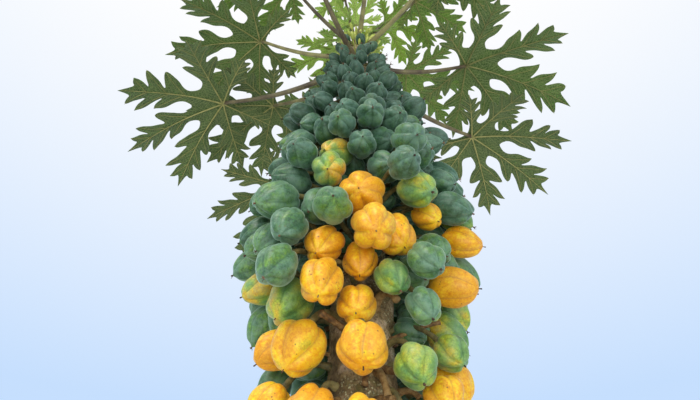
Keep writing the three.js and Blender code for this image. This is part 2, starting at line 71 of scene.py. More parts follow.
def unit(vectors):
    vectors = np.asarray(vectors, float)
    return vectors / np.maximum(np.linalg.norm(vectors, axis=-1, keepdims=True), 1e-12)


def dot(a, b):
    return (a * b).sum(-1)


# A unit vector that points away from the stem at this turn, and up by this rise.
def away(turn, rise=0.0):
    t, r = np.radians(turn), np.radians(rise)
    t, r = np.broadcast_arrays(t, r)
    return np.stack([np.cos(t) * np.cos(r), np.sin(t) * np.cos(r), np.sin(r)], -1)


def turnGap(start, end):
    return (np.fmod(end - start, 360) + 540) % 360 - 180


# The stem's line and girth, as in the part's source.
stem = {
    "height": 2935,
    "foot": 78,
    "waist": 57,
    "waistHeight": 2150,
    "taperBelow": 0.8,  # under 1 narrows faster near the ground
    "tip": 17,
    "taperAbove": 1.6,  # over 1 narrows faster near the tip
    "flare": 42,
    "flareHeight": 95,
    "flareRidges": 5,
    "ridgeDepth": 0.3,  # of the flare
    "ridgeShift": 0.6,  # radians
    "lean": 21,
    "leanHeight": 1400,
    "sway": 17,
    "swayHeight": 1900,
}


def stemMiddle(height):
    height = np.asarray(height, float)
    bow = np.sin(np.pi * np.minimum(height, stem["swayHeight"]) / stem["swayHeight"])
    lean = stem["lean"] * smooth(height, 0, stem["leanHeight"])
    return np.stack([lean, -stem["sway"] * bow, height], -1)


def stemRadius(height):
    height = np.asarray(height, float)
    low = np.minimum(height / stem["waistHeight"], 1)
    high = np.maximum((height - stem["waistHeight"]) / (stem["height"] - stem["waistHeight"]), 0)
    below = mix(stem["foot"], stem["waist"], low ** stem["taperBelow"])
    return below - (stem["waist"] - stem["tip"]) * high ** stem["taperAbove"]


def flareAt(height, turn):
    ridge = np.cos(stem["flareRidges"] * np.radians(turn) + stem["ridgeShift"])
    return stem["flare"] * (1 + stem["ridgeDepth"] * ridge) * np.exp(-height / stem["flareHeight"])


def atBark(turn, height, lift=0.0):
    out = stemRadius(height) + lift
    return stemMiddle(height) + away(turn) * np.asarray(out)[..., None]


def turnOf(point):
    middle = stemMiddle(point[..., 2])
    return np.degrees(np.arctan2(point[..., 1] - middle[..., 1], point[..., 0] - middle[..., 0]))


def fromStem(point):
    middle = stemMiddle(point[..., 2])
    return np.hypot(point[..., 0] - middle[..., 0], point[..., 1] - middle[..., 1])


# Leaves from the oldest up: turn and height where the stalk leaves the stem, length and rise of the stalk,
# length of the middle lobe, and how far the blade tips down.
leafFacts = [
    (127, 2720, 342, -17, 262, 20),
    (27, 2776, 348, -12, 285, 16),
    (169, 2806, 362, -11, 292, 18),
    (80, 2792, 327, 2, 275, 18),
    (148, 2774, 275, 12, 268, 14),
    (6, 2804, 292, 10, 300, 10),
    (243, 2820, 322, 22, 280, 12),
    (104, 2838, 300, 28, 262, 12),
    (181, 2850, 270, 16, 276, 8),
    (316, 2866, 305, 20, 282, 10),
    (47, 2878, 262, 34, 232, 10),
    (278, 2888, 290, 28, 268, 6),
    (214, 2896, 240, 30, 225, 10),
    (345, 2904, 235, 46, 205, 4),
    (120, 2911, 190, 52, 178, 2),
    (24, 2918, 205, 66, 168, -6),
    (232, 2925, 165, 74, 140, -14),
]
leafStalk = {
    "foot": 8.5,  # radius at the stem, on the longest stalk
    "end": 4.5,
    "footInside": 5,
    "bend": 0.09,  # of its length that its middle hangs below a straight line
    "coarseSteps": 3,  # spans that the fruit are kept clear of
    "fineSteps": 26,
    "sides": 14,
    "swelling": 0.42,  # how much thicker the foot is where it grasps the bark
    "swellLength": 0.035,  # of the stalk's length
    "endSwelling": 0.25,
    "endLength": 0.03,
    "ridges": 5,
    "ridgeDepth": 0.07,
}


def stalkLine(leaf, shares):
    turn, height, length, rise = leaf[:4]
    start = atBark(turn, height, -leafStalk["footInside"])
    end = start + away(turn, rise) * length
    points = mix(start, end, shares[:, None])
    points[:, 2] -= length * np.cos(np.radians(rise)) * leafStalk["bend"] * np.sin(np.pi * shares)
    return points


coarseShares = np.linspace(0, 1, leafStalk["coarseSteps"] + 1)
coarseLines = [stalkLine(leaf, coarseShares) for leaf in leafFacts]
spanStarts = np.concatenate([line[:-1] for line in coarseLines])
spanEnds = np.concatenate([line[1:] for line in coarseLines])


def nearestOn(start, end, point):
    run = end - start
    share = np.clip(dot(point - start, run) / dot(run, run), 0, 1)
    return start + run * share[..., None]


# How far straight runs stay from every leaf's stalk, and the way out where they come too near.
def wayOutOfStalks(starts, ends, steps=8):
    shares = np.linspace(0, 1, steps + 1)[None, :, None]
    points = starts[:, None] + (ends - starts)[:, None] * shares
    off = points[:, None] - nearestOn(
        spanStarts[None, :, None], spanEnds[None, :, None], points[:, None]
    )
    far = np.linalg.norm(off, axis=-1).reshape(len(starts), -1)
    least = far.argmin(1)
    rows = np.arange(len(starts))
    return far[rows, least], unit(off.reshape(len(starts), -1, 3)[rows, least])


# The rule that the fruit grow by, as in the part's source.
fruitBand = np.array([
    # height, reach, girth, droop, share of the shell filled
    (1660, 120, 62, 66, 0.4),
    (1750, 160, 67, 64, 0.45),
    (1870, 196, 68, 60, 0.5),
    (2000, 205, 67, 54, 0.66),
    (2080, 223, 66, 48, 0.95),
    (2180, 237, 64, 42, 1.12),
    (2310, 203, 60, 32, 1.12),
    (2470, 178, 52, 18, 1.05),
    (2580, 158, 42, 8, 0.75),
    (2660, 124, 35, 2, 0.62),
    (2790, 94, 29, -6, 0.5),
    (2885, 62, 22, -14, 0.36),
])
bandColumn = {"reach": 1, "girth": 2, "droop": 3, "share": 4}


def along(height, fact):
    return np.interp(height, fruitBand[:, 0], fruitBand[:, bandColumn[fact]])


fruitRule = {
    "lengthOverGirth": 1.32,
    "base": 0.46,
    "lowest": 1690,
    "highest": 2880,
    "turning": 2010,
    "ripening": 150,
    "ripeSpread": 1.2,
    "sizeSpread": 0.24,
    "turnSpread": 16,
    "droopSpread": 24,
    "asideSpread": 30,
    "depthSpread": 0.3,
    "rootDrop": 0.07,  # how far under its base a fruit's stalk is rooted, of the girth
    "rootSpread": 0.5,
    "innerShare": 0.55,  # of the girth, from a fruit's middle to its side nearest to the stem
    "ringShare": 0.6,  # the same, where the fruit round the stem are counted
    "crowded": 0.3,
    "crowdedBelow": 0.5,
    "leftOut": (128, 154, 162, 167, 180),  # they would stand in front of old fruit
    "clearOfStem": 20,
    "clearOfPetiole": 2,
    "stalk": 4.6,
    "firstNumber": 100,
}
easing = {
    "rounds": 150,
    "air": 1.8,
    "near": 160,
    "push": 0.6,
    "pull": 0.04,
    "pullRounds": 0.6,
    "oldGives": 0.15,
}
strip = {"lift": 15, "radius": 7.5, "searchStep": 3, "fromEdge": 12}
core = {"share": 0.3, "sunk": 9, "fromEdge": 12, "neck": 0.6}

# The fruit that ripened or turned first, and the large green ones beside them: turn, height, girth, droop,
# ripeness from 0, green, to 1, yellow, and how far in from the shell of the fruit each sits.
oldFruit = [
    (269, 2141, 84, 34, 1, 6),
    (287, 2105, 70, 60, 1, 42),
    (275, 2069, 78, 46, 1, 0),
    (253, 2105, 68, 52, 1, 30),
    (282, 2066, 62, 70, 1, 46),
    (252, 1994, 72, 62, 1, 4),
    (256, 2001, 66, 50, 1, 38),
    (320, 2175, 52, 50, 0.95, 45),
    (349, 2173, 64, 22, 0.95, 0),
    (335, 2046, 70, 18, 1, 0),
    (217, 1879, 88, 66, 0.87, 0),
    (269, 1862, 80, 72, 1, 0),
    (190, 1936, 70, 44, 0.97, 0),
    (208, 1850, 68, 60, 0.9, 0),
    (350, 1880, 76, 50, 0.94, 0),
    (324, 1838, 62, 60, 0.97, 0),
    (268, 1786, 66, 62, 0.95, 0),
    (247, 2315, 66, 30, 0.5, 22),
    (251, 2220, 64, 44, 0.5, 4),
    (301, 2194, 68, 44, 0.32, 0),
    (218, 2022, 76, 58, 0.47, 0),
    (183, 2079, 68, 36, 0.5, 0),
    (301, 1856, 68, 62, 0.2, 0),
    (328, 1896, 58, 54, 0.2, 0),
    (351, 2226, 60, 36, 0.22, 0),
    (16, 2063, 62, 60, 0.3, 0),
    (288, 2042, 56, 64, 0.22, 40),
    (221, 2036, 58, 52, 0.12, 0),
    (257, 2103, 64, 24, 0.05, 0),
    (223, 2243, 64, 12, 0.03, 0),
    (300, 1974, 56, 60, 0.1, 0),
    (299, 2019, 60, 50, 0, 0),
    (288, 2258, 66, 38, 0, 20),
    (310, 2314, 62, 22, 0, 0),
]

# Tiers of bunches: lowest height, bunches round the stem, turn of the first, and whether they are packed.
tiers = [
    (1640, 4, 65, False),
    (1905, 4, 95, False),
    (2060, 4, 60, True),
    (2150, 5, 66, True),
    (2245, 5, 15, True),
    (2345, 4, 46, True),
    (2455, 4, 76, True),
    (2555, 4, 45, False),
    (2690, 4, 85, False),
]
topOfTiers = 2890


# The bunches of a tier stand at even turns. One with a strip is shifted as little as clears the leaves.
def layOutBunches():
    room = strip["radius"] + leafStalk["foot"] + 1
    rows = []
    for i, (low, bunches, firstTurn, packed) in enumerate(tiers):
        high = tiers[i + 1][0] if i + 1 < len(tiers) else topOfTiers
        for k in range(bunches):
            middle = firstTurn + 360 / bunches * k
            shift = 0
            while abs(shift) < 180 / bunches and not packed:
                ends = atBark(middle + shift, np.array([low, high]), strip["lift"])
                if wayOutOfStalks(ends[:1], ends[1:])[0][0] > room:
                    break
                shift = -shift if shift > 0 else strip["searchStep"] - shift
            rows.append((middle + shift, 180 / bunches, low, high, packed))
    return np.array(rows, float)


bunches = layOutBunches()
bunchTurn, bunchHalf, bunchFrom, bunchTo, bunchPacked = bunches.T


# Arrays of facts, one row for each fruit.
class Fruits:
    pass


def stalkEnd(f):
    return f.middle - f.axis * (f.length * fruitRule["base"])[:, None]


# Where each fruit's own stalk or neck leaves its strip or core, and where it meets the fruit.
def stalkOf(f):
    end = stalkEnd(f)
    b = f.bunch
    packed = bunchPacked[b] > 0
    edge = np.where(packed, core["fromEdge"], strip["fromEdge"])
    drop = np.where(packed, 0, f.rootDrop)
    height = np.clip(end[:, 2] - drop, bunchFrom[b] + edge, bunchTo[b] - edge)
    most = bunchHalf[b] - np.degrees(core["fromEdge"] / stemRadius(height))
    ownTurn = bunchTurn[b] + np.clip(turnGap(bunchTurn[b], turnOf(end)), -most, most)
    coreLift = core["share"] * (along(height, "reach") - stemRadius(height)) - core["sunk"]
    turn = np.where(packed, ownTurn, bunchTurn[b])
    return atBark(turn, height, np.where(packed, coreLift, strip["lift"])), end


def aim(f):
    f.axis = away(turnOf(f.middle) + f.aside, -f.droop)
    end = stalkEnd(f)
    off = np.maximum(bunchFrom - end[:, 2:], np.maximum(end[:, 2:] - bunchTo, 0))
    far = np.abs(turnGap(bunchTurn, turnOf(end)[:, None])) + off * 10
    f.bunch = far.argmin(1)


# How far fruit reach from their middles in these directions, as eggs of their length and girth.
def fruitReach(f, rows, direction):
    lengthwise = dot(direction, f.axis[rows]) ** 2
    long, wide = f.length[rows] / 2, f.girth[rows] / 2
    return np.sqrt(long * long * lengthwise + wide * wide * (1 - lengthwise))


def newFruits(number, turn, height, girth, droop, ripe, depth, old):
    f = Fruits()
    f.number, f.turn, f.height, f.girth, f.droop, f.ripe = map(
        lambda column: np.atleast_1d(np.asarray(column, float)),
        (number, turn, height, girth, droop, ripe),
    )
    f.old = np.full(len(f.number), old)
    f.length = f.girth * fruitRule["lengthOverGirth"]
    f.aside = spread(f.number, 1, fruitRule["asideSpread"])
    f.rootDrop = f.girth * (fruitRule["rootDrop"] + spread(f.number, 2, fruitRule["rootSpread"]))
    f.roll = chance(f.number, 3) * ribTurn
    tipDown = np.radians(f.droop)
    outer = np.hypot(f.length / 2 * np.cos(tipDown), f.girth / 2 * np.sin(tipDown))
    least = stemRadius(f.height) + fruitRule["clearOfStem"] + f.girth * fruitRule["innerShare"]
    f.out = np.maximum(along(f.height, "reach") - outer - depth, least)
    f.middle = stemMiddle(f.height) + away(f.turn) * f.out[:, None]
    aim(f)
    return f


def together(groups):
    whole = Fruits()
    for fact in vars(groups[0]):
        setattr(whole, fact, np.concatenate([getattr(g, fact) for g in groups]))
    return whole


def chosen(f, rows):
    part = Fruits()
    for fact, column in vars(f).items():
        setattr(part, fact, column[rows])
    return part


# Old fruit keep to their listed places. The rest climb the stem by the golden turn, each taking its own
# share of the shell, and are then eased apart.
def placeFruit():
    columns = np.array(oldFruit, float).T
    old = newFruits(np.arange(len(oldFruit)), *columns, True)
    groups = [old]
    height, number = fruitRule["lowest"], fruitRule["firstNumber"]
    while height < fruitRule["highest"]:
        usual = along(height, "girth")
        girth = usual * (1 + spread(number, 4, fruitRule["sizeSpread"]))
        depth = girth * chance(number, 5) * fruitRule["depthSpread"]
        turn = number * goldenTurn + spread(number, 6, fruitRule["turnSpread"])
        droop = along(height, "droop") + spread(number, 7, fruitRule["droopSpread"])
        lower = (fruitRule["turning"] - height) / fruitRule["ripening"]
        ripe = np.clip(lower + spread(number, 8, fruitRule["ripeSpread"]), 0, 1)
        one = newFruits(number, turn, height, girth, droop, ripe, depth, False)
        packed = bunchPacked[one.bunch[0]] > 0
        crowded = fruitRule["crowded" if packed else "crowdedBelow"]
        apart = np.linalg.norm(old.middle - one.middle, axis=1)
        if not (apart < (old.girth + girth) * crowded).any():
            groups.append(one)
        ring = 2 * np.pi * max(one.out[0], stemRadius(height) + girth * fruitRule["ringShare"])
        height += usual * usual / (ring * along(height, "share"))
        number += 1
    f = together(groups)
    easeApart(f)
    start, end = stalkOf(f)
    rows = np.arange(len(f.girth))
    body, bodyWay = wayOutOfStalks(f.middle, f.middle, 1)
    stalk, _ = wayOutOfStalks(start, end)
    room = leafStalk["foot"] + fruitRule["clearOfPetiole"]
    clear = (body > fruitReach(f, rows, bodyWay) + room) & (stalk > fruitRule["stalk"] + room)
    return chosen(f, clear & ~np.isin(f.number, fruitRule["leftOut"]))


# The second of each pair is pushed off the first, and the first off it. An old fruit hardly gives way to a
# younger one.
def pushApart(f, moves, i, j, off, room):
    far = np.linalg.norm(off, axis=1)
    overlap = np.maximum(room - far, 0)
    gives = np.where(f.old[i], easing["oldGives"], 1 - easing["oldGives"])
    share = np.where(f.old[i] == f.old[j], 0.5, gives)
    way = off / far[:, None]
    np.add.at(moves, i, -way * (overlap * share * easing["push"])[:, None])
    np.add.at(moves, j, way * (overlap * (1 - share) * easing["push"])[:, None])


def easeApart(f):
    home = f.middle.copy()
    count = len(f.girth)
    rows = np.arange(count)
    for step in range(easing["rounds"]):
        moves = np.zeros((count, 3))
        start, end = stalkOf(f)
        high = f.middle[:, 2]
        near = np.abs(high[:, None] - high[None, :]) <= easing["near"]
        i, j = np.nonzero(near & ~np.eye(count, dtype=bool))
        a, b = i[i < j], j[i < j]
        apart = f.middle[b] - f.middle[a]
        way = unit(apart)
        room = fruitReach(f, a, way) + fruitReach(f, b, way) + easing["air"]
        pushApart(f, moves, a, b, apart, room)
        spot = nearestOn(start[i], end[i], f.middle[j])
        off = f.middle[j] - spot
        run = np.linalg.norm(end - start, axis=1)
        neck = core["neck"] * f.girth[i] * np.linalg.norm(spot - start[i], axis=1) / (2 * run[i])
        thick = np.where(bunchPacked[f.bunch[i]] > 0, neck, fruitRule["stalk"])
        pushApart(f, moves, i, j, off, fruitReach(f, j, unit(off)) + thick + easing["air"])

        least, way = wayOutOfStalks(f.middle, f.middle, 1)
        room = fruitReach(f, rows, way) + leafStalk["foot"] + fruitRule["clearOfPetiole"]
        moves += way * (np.maximum(room - least, 0) * easing["push"])[:, None]
        least, way = wayOutOfStalks(start, end)
        room = fruitRule["stalk"] + leafStalk["foot"] + fruitRule["clearOfPetiole"]
        moves += way * (np.maximum(room - least, 0) * easing["push"])[:, None]

        fade = max(1 - step / (easing["rounds"] * easing["pullRounds"]), 0) * easing["pull"]
        f.middle = f.middle + moves
        f.middle = mix(f.middle, home, np.where(f.old, fade * 2, fade)[:, None])
        outward = away(turnOf(f.middle))
        least = stemRadius(f.middle[:, 2]) + fruitRule["clearOfStem"] + fruitReach(f, rows, outward)
        f.middle = f.middle + outward * np.maximum(least - fromStem(f.middle), 0)[:, None]
        aim(f)


fruits = placeFruit()
report(f"{len(fruits.girth)} fruit placed")


# Meshes: points and faces are gathered kind by kind, and each kind becomes one piece.
class Gathered:
    def __init__(self):
        self.points, self.faces, self.facts, self.count = [], [], {}, 0

    def add(self, points, faces, **facts):
        self.points.append(points)
        self.faces.extend(rows + self.count for rows in faces if len(rows))
        for name, values in facts.items():
            values = np.broadcast_to(np.asarray(values, float), (len(points),))
            self.facts.setdefault(name, []).append(values)
        self.count += len(points)


def makePiece(name, gathered, material, nodes=(), sharpAt=None):
    mesh = bpy.data.meshes.new(name)
    faces = [face for rows in gathered.faces for face in rows.tolist()]
    mesh.from_pydata(np.concatenate(gathered.points) * mm, [], faces)
    for fact, values in gathered.facts.items():
        column = mesh.attributes.new(fact, "FLOAT", "POINT")
        column.data.foreach_set("value", np.concatenate(values).astype(np.float32))
    mesh.materials.append(material)
    mesh.shade_smooth()
    if sharpAt:
        mesh.set_sharp_from_angle(angle=np.radians(sharpAt))
    mesh.validate()
    piece = bpy.data.objects.new(name, mesh)
    bpy.context.scene.collection.objects.link(piece)
    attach(piece, "root")
    if nodes:
        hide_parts(*nodes)
    triangles = sum(len(face) - 2 for face in faces)
    report(f"{name}: {triangles} triangles")


# Quads between rings of points, and a fan at each end round its own last point.
def ringFaces(rings, sides):
    ring, side = np.meshgrid(np.arange(rings - 1), np.arange(sides), indexing="ij")
    here, beside = ring * sides + side, ring * sides + (side + 1) % sides
    quads = np.stack([here, beside, beside + sides, here + sides], -1).reshape(-1, 4)
    edge = np.arange(sides)
    after = (edge + 1) % sides
    first, last = rings * sides, rings * sides + 1
    low = np.stack([after, edge, np.full(sides, first)], -1)
    top = (rings - 1) * sides
    high = np.stack([top + edge, top + after, np.full(sides, last)], -1)
    return [quads, low, high]


def evenTurns(sides):
    return np.linspace(0, 2 * np.pi, sides, endpoint=False)


# A limb along a line. Its rings don't twist. Radii may differ from side to side.
def tube(line, radii, sides):
    line = np.asarray(line, float)
    runs = unit(np.gradient(line, axis=0))
    across = np.cross(upward, runs[0])
    if np.linalg.norm(across) < 0.05:
        across = np.array([1.0, 0.0, 0.0])
    frames = []
    for run in runs:
        across = unit(across - run * (across @ run))
        frames.append((across, np.cross(run, across)))
    across, over = (np.array(part)[:, None] for part in zip(*frames))
    turns = evenTurns(sides)
    radii = np.asarray(radii, float)
    radii = radii[:, None] if radii.ndim == 1 else radii
    turned = across * np.cos(turns)[None, :, None] + over * np.sin(turns)[None, :, None]
    points = line[:, None] + turned * np.broadcast_to(radii, (len(line), sides))[..., None]
    points = np.concatenate([points.reshape(-1, 3), line[:1], line[-1:]])
    return points, ringFaces(len(line), sides)


def bezier(a, b, c, d, steps):
    t = np.linspace(0, 1, steps + 1)[:, None]
    return a * (1 - t) ** 3 + 3 * b * t * (1 - t) ** 2 + 3 * c * t * t * (1 - t) + d * t**3


# Materials. Colours are sRGB hex values.
def colour(hexValue):
    parts = [int(hexValue[i : i + 2], 16) / 255 for i in (1, 3, 5)]
    return tuple(p / 12.92 if p <= 0.04045 else ((p + 0.055) / 1.055) ** 2.4 for p in parts) + (1,)


# Adds one node, with its settings, and its inputs as values, as sRGB hex colours or as links from other
# nodes' sockets. Gives back one of its outputs.
def addNode(tree, kind, inputs=None, out=0, stops=None, **settings):
    made = tree.nodes.new("ShaderNode" + kind)
    for name, value in settings.items():
        setattr(made, name, value)
    for name, value in (inputs or {}).items():
        if isinstance(value, bpy.types.NodeSocket):
            tree.links.new(value, made.inputs[name])
        else:
            made.inputs[name].default_value = colour(value) if isinstance(value, str) else value
    if stops:
        points = made.color_ramp.elements
        while len(points) < len(stops):
            points.new(1)
        for point, (place, value) in zip(points, stops):
            point.position, point.color = place, colour(value)
    return made.outputs[out]


def newMaterial(name, **sockets):
    material = bpy.data.materials.new(name)
    material.use_nodes = True
    shader = material.node_tree.nodes["Principled BSDF"]
    for socket, value in sockets.items():
        value = colour(value) if isinstance(value, str) else value
        shader.inputs[socket.replace("_", " ")].default_value = value
    return material, material.node_tree


def finished(material, base, bump):
    shader = material.node_tree.nodes["Principled BSDF"]
    material.node_tree.links.new(base, shader.inputs["Base Color"])
    material.node_tree.links.new(bump, shader.inputs["Normal"])
    return material


# Inputs and output of a colour mix, by place, because their names repeat.
mixShare, mixFirst, mixSecond, mixResult = 0, 6, 7, 2


# Fruit: five ribs between five furrows, widest nearer the stalk and drawn out to a blunt point.
skin = {
    "largeGirth": 63,
    "tipPower": (1.72, 2.3),  # how full the tip's half is, from a pointed fruit to a blunt one
    "tipBend": (0.66, 0.46),
    "endPower": 2.15,  # the same at the stalk's half
    "endBend": 0.5,
    "furrow": 0.15,  # depth, of the radius, on a plain fruit
    "plainSpread": 0.6,  # how much plainer than others a large fruit may be
    "youngFurrow": 0.05,  # more on a small young one
    "starFurrow": 0.025,  # more on some of the ripe ones
    "crestPower": 0.6,  # under 1 makes rounder ribs and sharper furrows
    "starPower": 0.82,
    "stars": (0, 2, 5, 16, 18, 19),  # the listed fruit that are star shaped
    "starRipe": 0.75,  # over this ripeness, others are too, apart from a share of them
    "starFrom": 0.4,
    "endsFrom": 0.8,  # where the ribs begin to meet, from the middle, 0, to each end, 1
    "sinkAtEnds": 0.5,  # of the furrow's depth, where all the ribs meet
    "belly": 0.07,
    "beak": 0.055,  # of the girth
    "beakReach": 0.025,
    "lobeSpread": 0.15,  # how unlike the five ribs are
    "lumps": 0.026,
    "curve": 0.03,  # at most, of the girth
    "wander": 7,  # degrees that a furrow winds
    "crowding": 0.35,  # how much the steps across a rib crowd at its furrows
    "shadeEdge": 0.45,  # edge of the darker line and painted shade in each furrow, from the crest, 0, to the furrow's floor, 1
    "patchiness": 1.5,  # how unevenly a turning fruit ripens
    # How much shorter some of the listed fruit are than their girth gives.
    "shorter": {10: 0.2, 11: 0.31, 12: 0.2, 13: 0.2, 14: 0.2, 15: 0.2, 16: 0.2, 22: 0.2, 23: 0.2},
    "pale": 0.1,  # how much riper a low green fruit looks
    "paleHeights": (1950, 2500),
}
# Over this girth: steps across a rib, and rings.
skinMesh = [(skin["largeGirth"], 10, 26), (45, 8, 20), (0, 6, 14)]


# A fruit's middle and length as drawn. Its stalk's end stays where it is.
def drawnEgg(f, n):
    shorter = skin["shorter"].get(int(f.number[n]), 0)
    return f.middle[n] - f.axis[n] * f.length[n] * shorter / 2, f.length[n] * (1 - shorter)


def makeFruit(f, n):
    girth, number, ripe = f.girth[n], f.number[n], f.ripe[n]
    middle, length = drawnEgg(f, n)
    steps, rings = next((steps, rings) for over, steps, rings in skinMesh if girth > over)
    t = -np.cos(np.linspace(0, np.pi, rings + 1))  # from the tip, -1, to the stalk, 1
    place = np.linspace(-1, 1, steps, endpoint=False)
    across = mix(place, np.degrees(np.arcsin(place)) / 90, skin["crowding"])
    turns = (np.arange(ribCount)[:, None] * ribTurn + across[None] * ribTurn / 2).ravel()
    plain = 1 - chance(number, 20) * skin["plainSpread"]
    blunt = chance(number, 21) * (0.5 + 0.5 * ripe)
    power = np.where(t < 0, mix(*skin["tipPower"], blunt), skin["endPower"])
    bend = np.where(t < 0, mix(*skin["tipBend"], blunt), skin["endBend"])
    out = girth / 2 * (1 - np.abs(t) ** power) ** bend * (1 + skin["belly"] * t)
    reach = -t * length / 2
    slopeOut, slopeReach = np.gradient(out), np.gradient(reach)
    normal = unit(np.stack([-slopeReach, slopeOut], -1))
    normal[0], normal[-1] = (0, 1), (0, -1)
    if girth < skin["largeGirth"]:
        depth = skin["furrow"] + skin["youngFurrow"] * (1 - girth / skin["largeGirth"])
    else:
        depth = skin["furrow"] * mix(0.5, 1, plain)
    ripeStar = ripe > skin["starRipe"] and chance(number, 22) > skin["starFrom"]
    star = number in skin["stars"] or (number >= len(oldFruit) and ripeStar)
    depth += skin["starFurrow"] * star
    crestPower = skin["starPower" if star else "crestPower"]
    furrow = 1 - np.abs(np.cos(np.radians(ribCount / 2 * turns))) ** crestPower
    atEnds = smooth(np.abs(t), skin["endsFrom"], 1)[:, None]
    sink = mix(furrow[None, :], skin["sinkAtEnds"], atEnds)
    lobes = chance(number, 30 + np.arange(ribCount))
    ring = np.arange(-1, ribCount + 1)
    lobe = np.interp(turns, ring * ribTurn, lobes[ring % ribCount]) - 0.5
    swell = skin["lobeSpread"] * lobe[None] * (1 - atEnds)
    phase = chance(number, 40 + np.arange(4)) * 2 * np.pi
    around = np.radians(turns)[None]
    lumps = np.sin(2 * around + 3 * t[:, None] + phase[0])
    lumps = lumps + np.sin(3 * around - 4 * t[:, None] + phase[1])
    lumps = skin["lumps"] * lumps * (1 - atEnds)
    push = girth / 2 * (swell + lumps - depth * sink)
    beak = girth * skin["beak"] * (1 - 0.6 * blunt) * (1 - 0.8 * ripe)
    push = push + (beak * np.exp(-(t + 1) / skin["beakReach"]))[:, None]
    ringOut = out[:, None] + normal[:, :1] * push
    ringOut = np.maximum(ringOut, 0) * (np.abs(t) < 0.9999)[:, None]
    ringReach = reach[:, None] + normal[:, 1:] * push
    wander = skin["wander"] * np.sin(2.1 * t + phase[2])
    angle = np.radians(turns[None] + f.roll[n] + wander[:, None])
    axis = f.axis[n]
    side = unit(np.cross(upward, axis))
    over = np.cross(axis, side)
    curve = girth * skin["curve"] * (1 - t * t) * np.sin(phase[3])
    points = (
        middle
        + axis * ringReach[..., None]
        + side * (np.cos(angle) * ringOut + curve[:, None])[..., None]
        + over * (np.sin(angle) * ringOut)[..., None]
    )
    sides = len(turns)
    shaped = points[1:-1].reshape(-1, 3)
    points = np.concatenate([shaped, points[0, :1], points[-1, :1]])

    # A turning fruit ripens from one side and unevenly, and a low green one is paler than a high one.
    uneven = 4 * ripe * (1 - ripe) * skin["patchiness"]
    off = np.sqrt(1 - t * t)[:, None]
    x, y, z = off * np.cos(around), off * np.sin(around), t[:, None]
    sunny = x * np.cos(phase[0]) + y * np.sin(phase[0]) + 0.4 * z * np.sin(phase[1])
    patches = np.sin(2.9 * x + 2.1 * z + phase[1]) * np.sin(2.6 * y - 1.9 * z + phase[2])
    patches = patches + 0.6 * np.sin(6.1 * x - 3.7 * y + phase[3]) * np.sin(5.3 * z + 3.9 * y + phase[0])
    pale = skin["pale"] * (1 - smooth(f.middle[n, 2], *skin["paleHeights"])) * (1 - ripe)
    value = ripe + pale + uneven * (0.3 * sunny + 0.26 * patches - 0.05 * furrow[None])
    value = np.clip(np.broadcast_to(value, (len(t), sides)), 0, 1)

    def perPoint(grid):
        grid = np.broadcast_to(grid, (len(t), sides))
        return np.concatenate([grid[1:-1].ravel(), [grid[0].mean(), grid[-1].mean()]])

    # Painted shade: the furrow's floor is marked for a darker tint, partly the skin's own line and partly
    # shade of the groove.
    crease = np.clip((furrow[None] - skin["shadeEdge"]) / (1 - skin["shadeEdge"]), 0, 1)
    crease = crease * (1 - 0.5 * atEnds)
    facts = {
        "ripeness": perPoint(value),
        "crease": perPoint(crease),
        "tone": float(chance(number, 50)),
    }
    return points, ringFaces(rings - 1, sides), facts


# The dried flower on a fruit's tip: a brown knob, with a few curled arms on some that keep them long.
driedFlower = {
    "knob": 1.9,  # radius
    "ripeKnob": 0.75,  # of that, on a ripening fruit
    "ripeFrom": 0.7,
    "sunk": 0.05,  # into the tip, of the girth
    "stands": 2.6,
    "armed": 0.5,  # share of unripe fruit whose flower has kept its arms
    "arms": 4,
    "armLength": 6.5,
    "armRadius": 0.75,
}


def makeDriedFlower(f, n):
    girth, axis, number = f.girth[n], f.axis[n], f.number[n]
    unripe = f.ripe[n] < driedFlower["ripeFrom"]
    knob = driedFlower["knob"] * mix(0.7, 1.2, chance(number, 60))
    knob *= 1 if unripe else driedFlower["ripeKnob"]
    middle, length = drawnEgg(f, n)
    tip = middle + axis * length / 2
    start = -girth * driedFlower["sunk"]
    rise = mix(start, girth * skin["beak"] * 0.5 + driedFlower["stands"], np.array([0, 0.6, 0.85, 1]))
    meshes = [tube(tip + axis * rise[:, None], knob * np.array([0.6, 0.8, 1, 0.5]), 7)]
    if unripe and chance(number, 61) < driedFlower["armed"]:
        top = tip + axis * rise[2]
        side = unit(np.cross(axis, away(f.roll[n] * 5, 40)))
        over = np.cross(axis, side)
        for k in range(driedFlower["arms"]):
            turn = 2 * np.pi * (k + 0.5 * chance(number, 62 + k)) / driedFlower["arms"]
            out = side * np.cos(turn) + over * np.sin(turn)
            reach = driedFlower["armLength"] * mix(0.4, 1, chance(number, 66 + k))
            curl = spread(number, 70 + k, 1.2)
            line = bezier(
                top, top + out * reach * 0.4, top + (out + axis * (0.5 + curl)) * reach * 0.7,
                top + (out * 0.8 + axis * (0.4 - curl)) * reach, 4,
            )
            meshes.append(tube(line, driedFlower["armRadius"] * np.linspace(1, 0.5, 5), 5))
    return meshes


# Fruit stalks: each leaves the bark over its fruit, bends out and comes to it from behind.
fruitStalk = {
    "thickness": 0.07,  # radius, of the girth
    "least": 2.2,
    "footSwell": 0.9,
    "endSwell": 0.45,
    # On a scattered fruit, then on a packed one: how far above the fruit's base the stalk is rooted, of the
    # girth, and in degrees the sweep that its root may stray over and how steeply it leaves the bark.
    "hangs": (0.7, 0.12),
    "turnSpread": (24, 10),
    "leaves": (18, 8),
    "bow": 0.42,  # of its run, straight at each end
    "intoBase": 0.04,  # of the fruit's length
    "inside": 6,
    "steps": 12,
    "sides": 8,
}


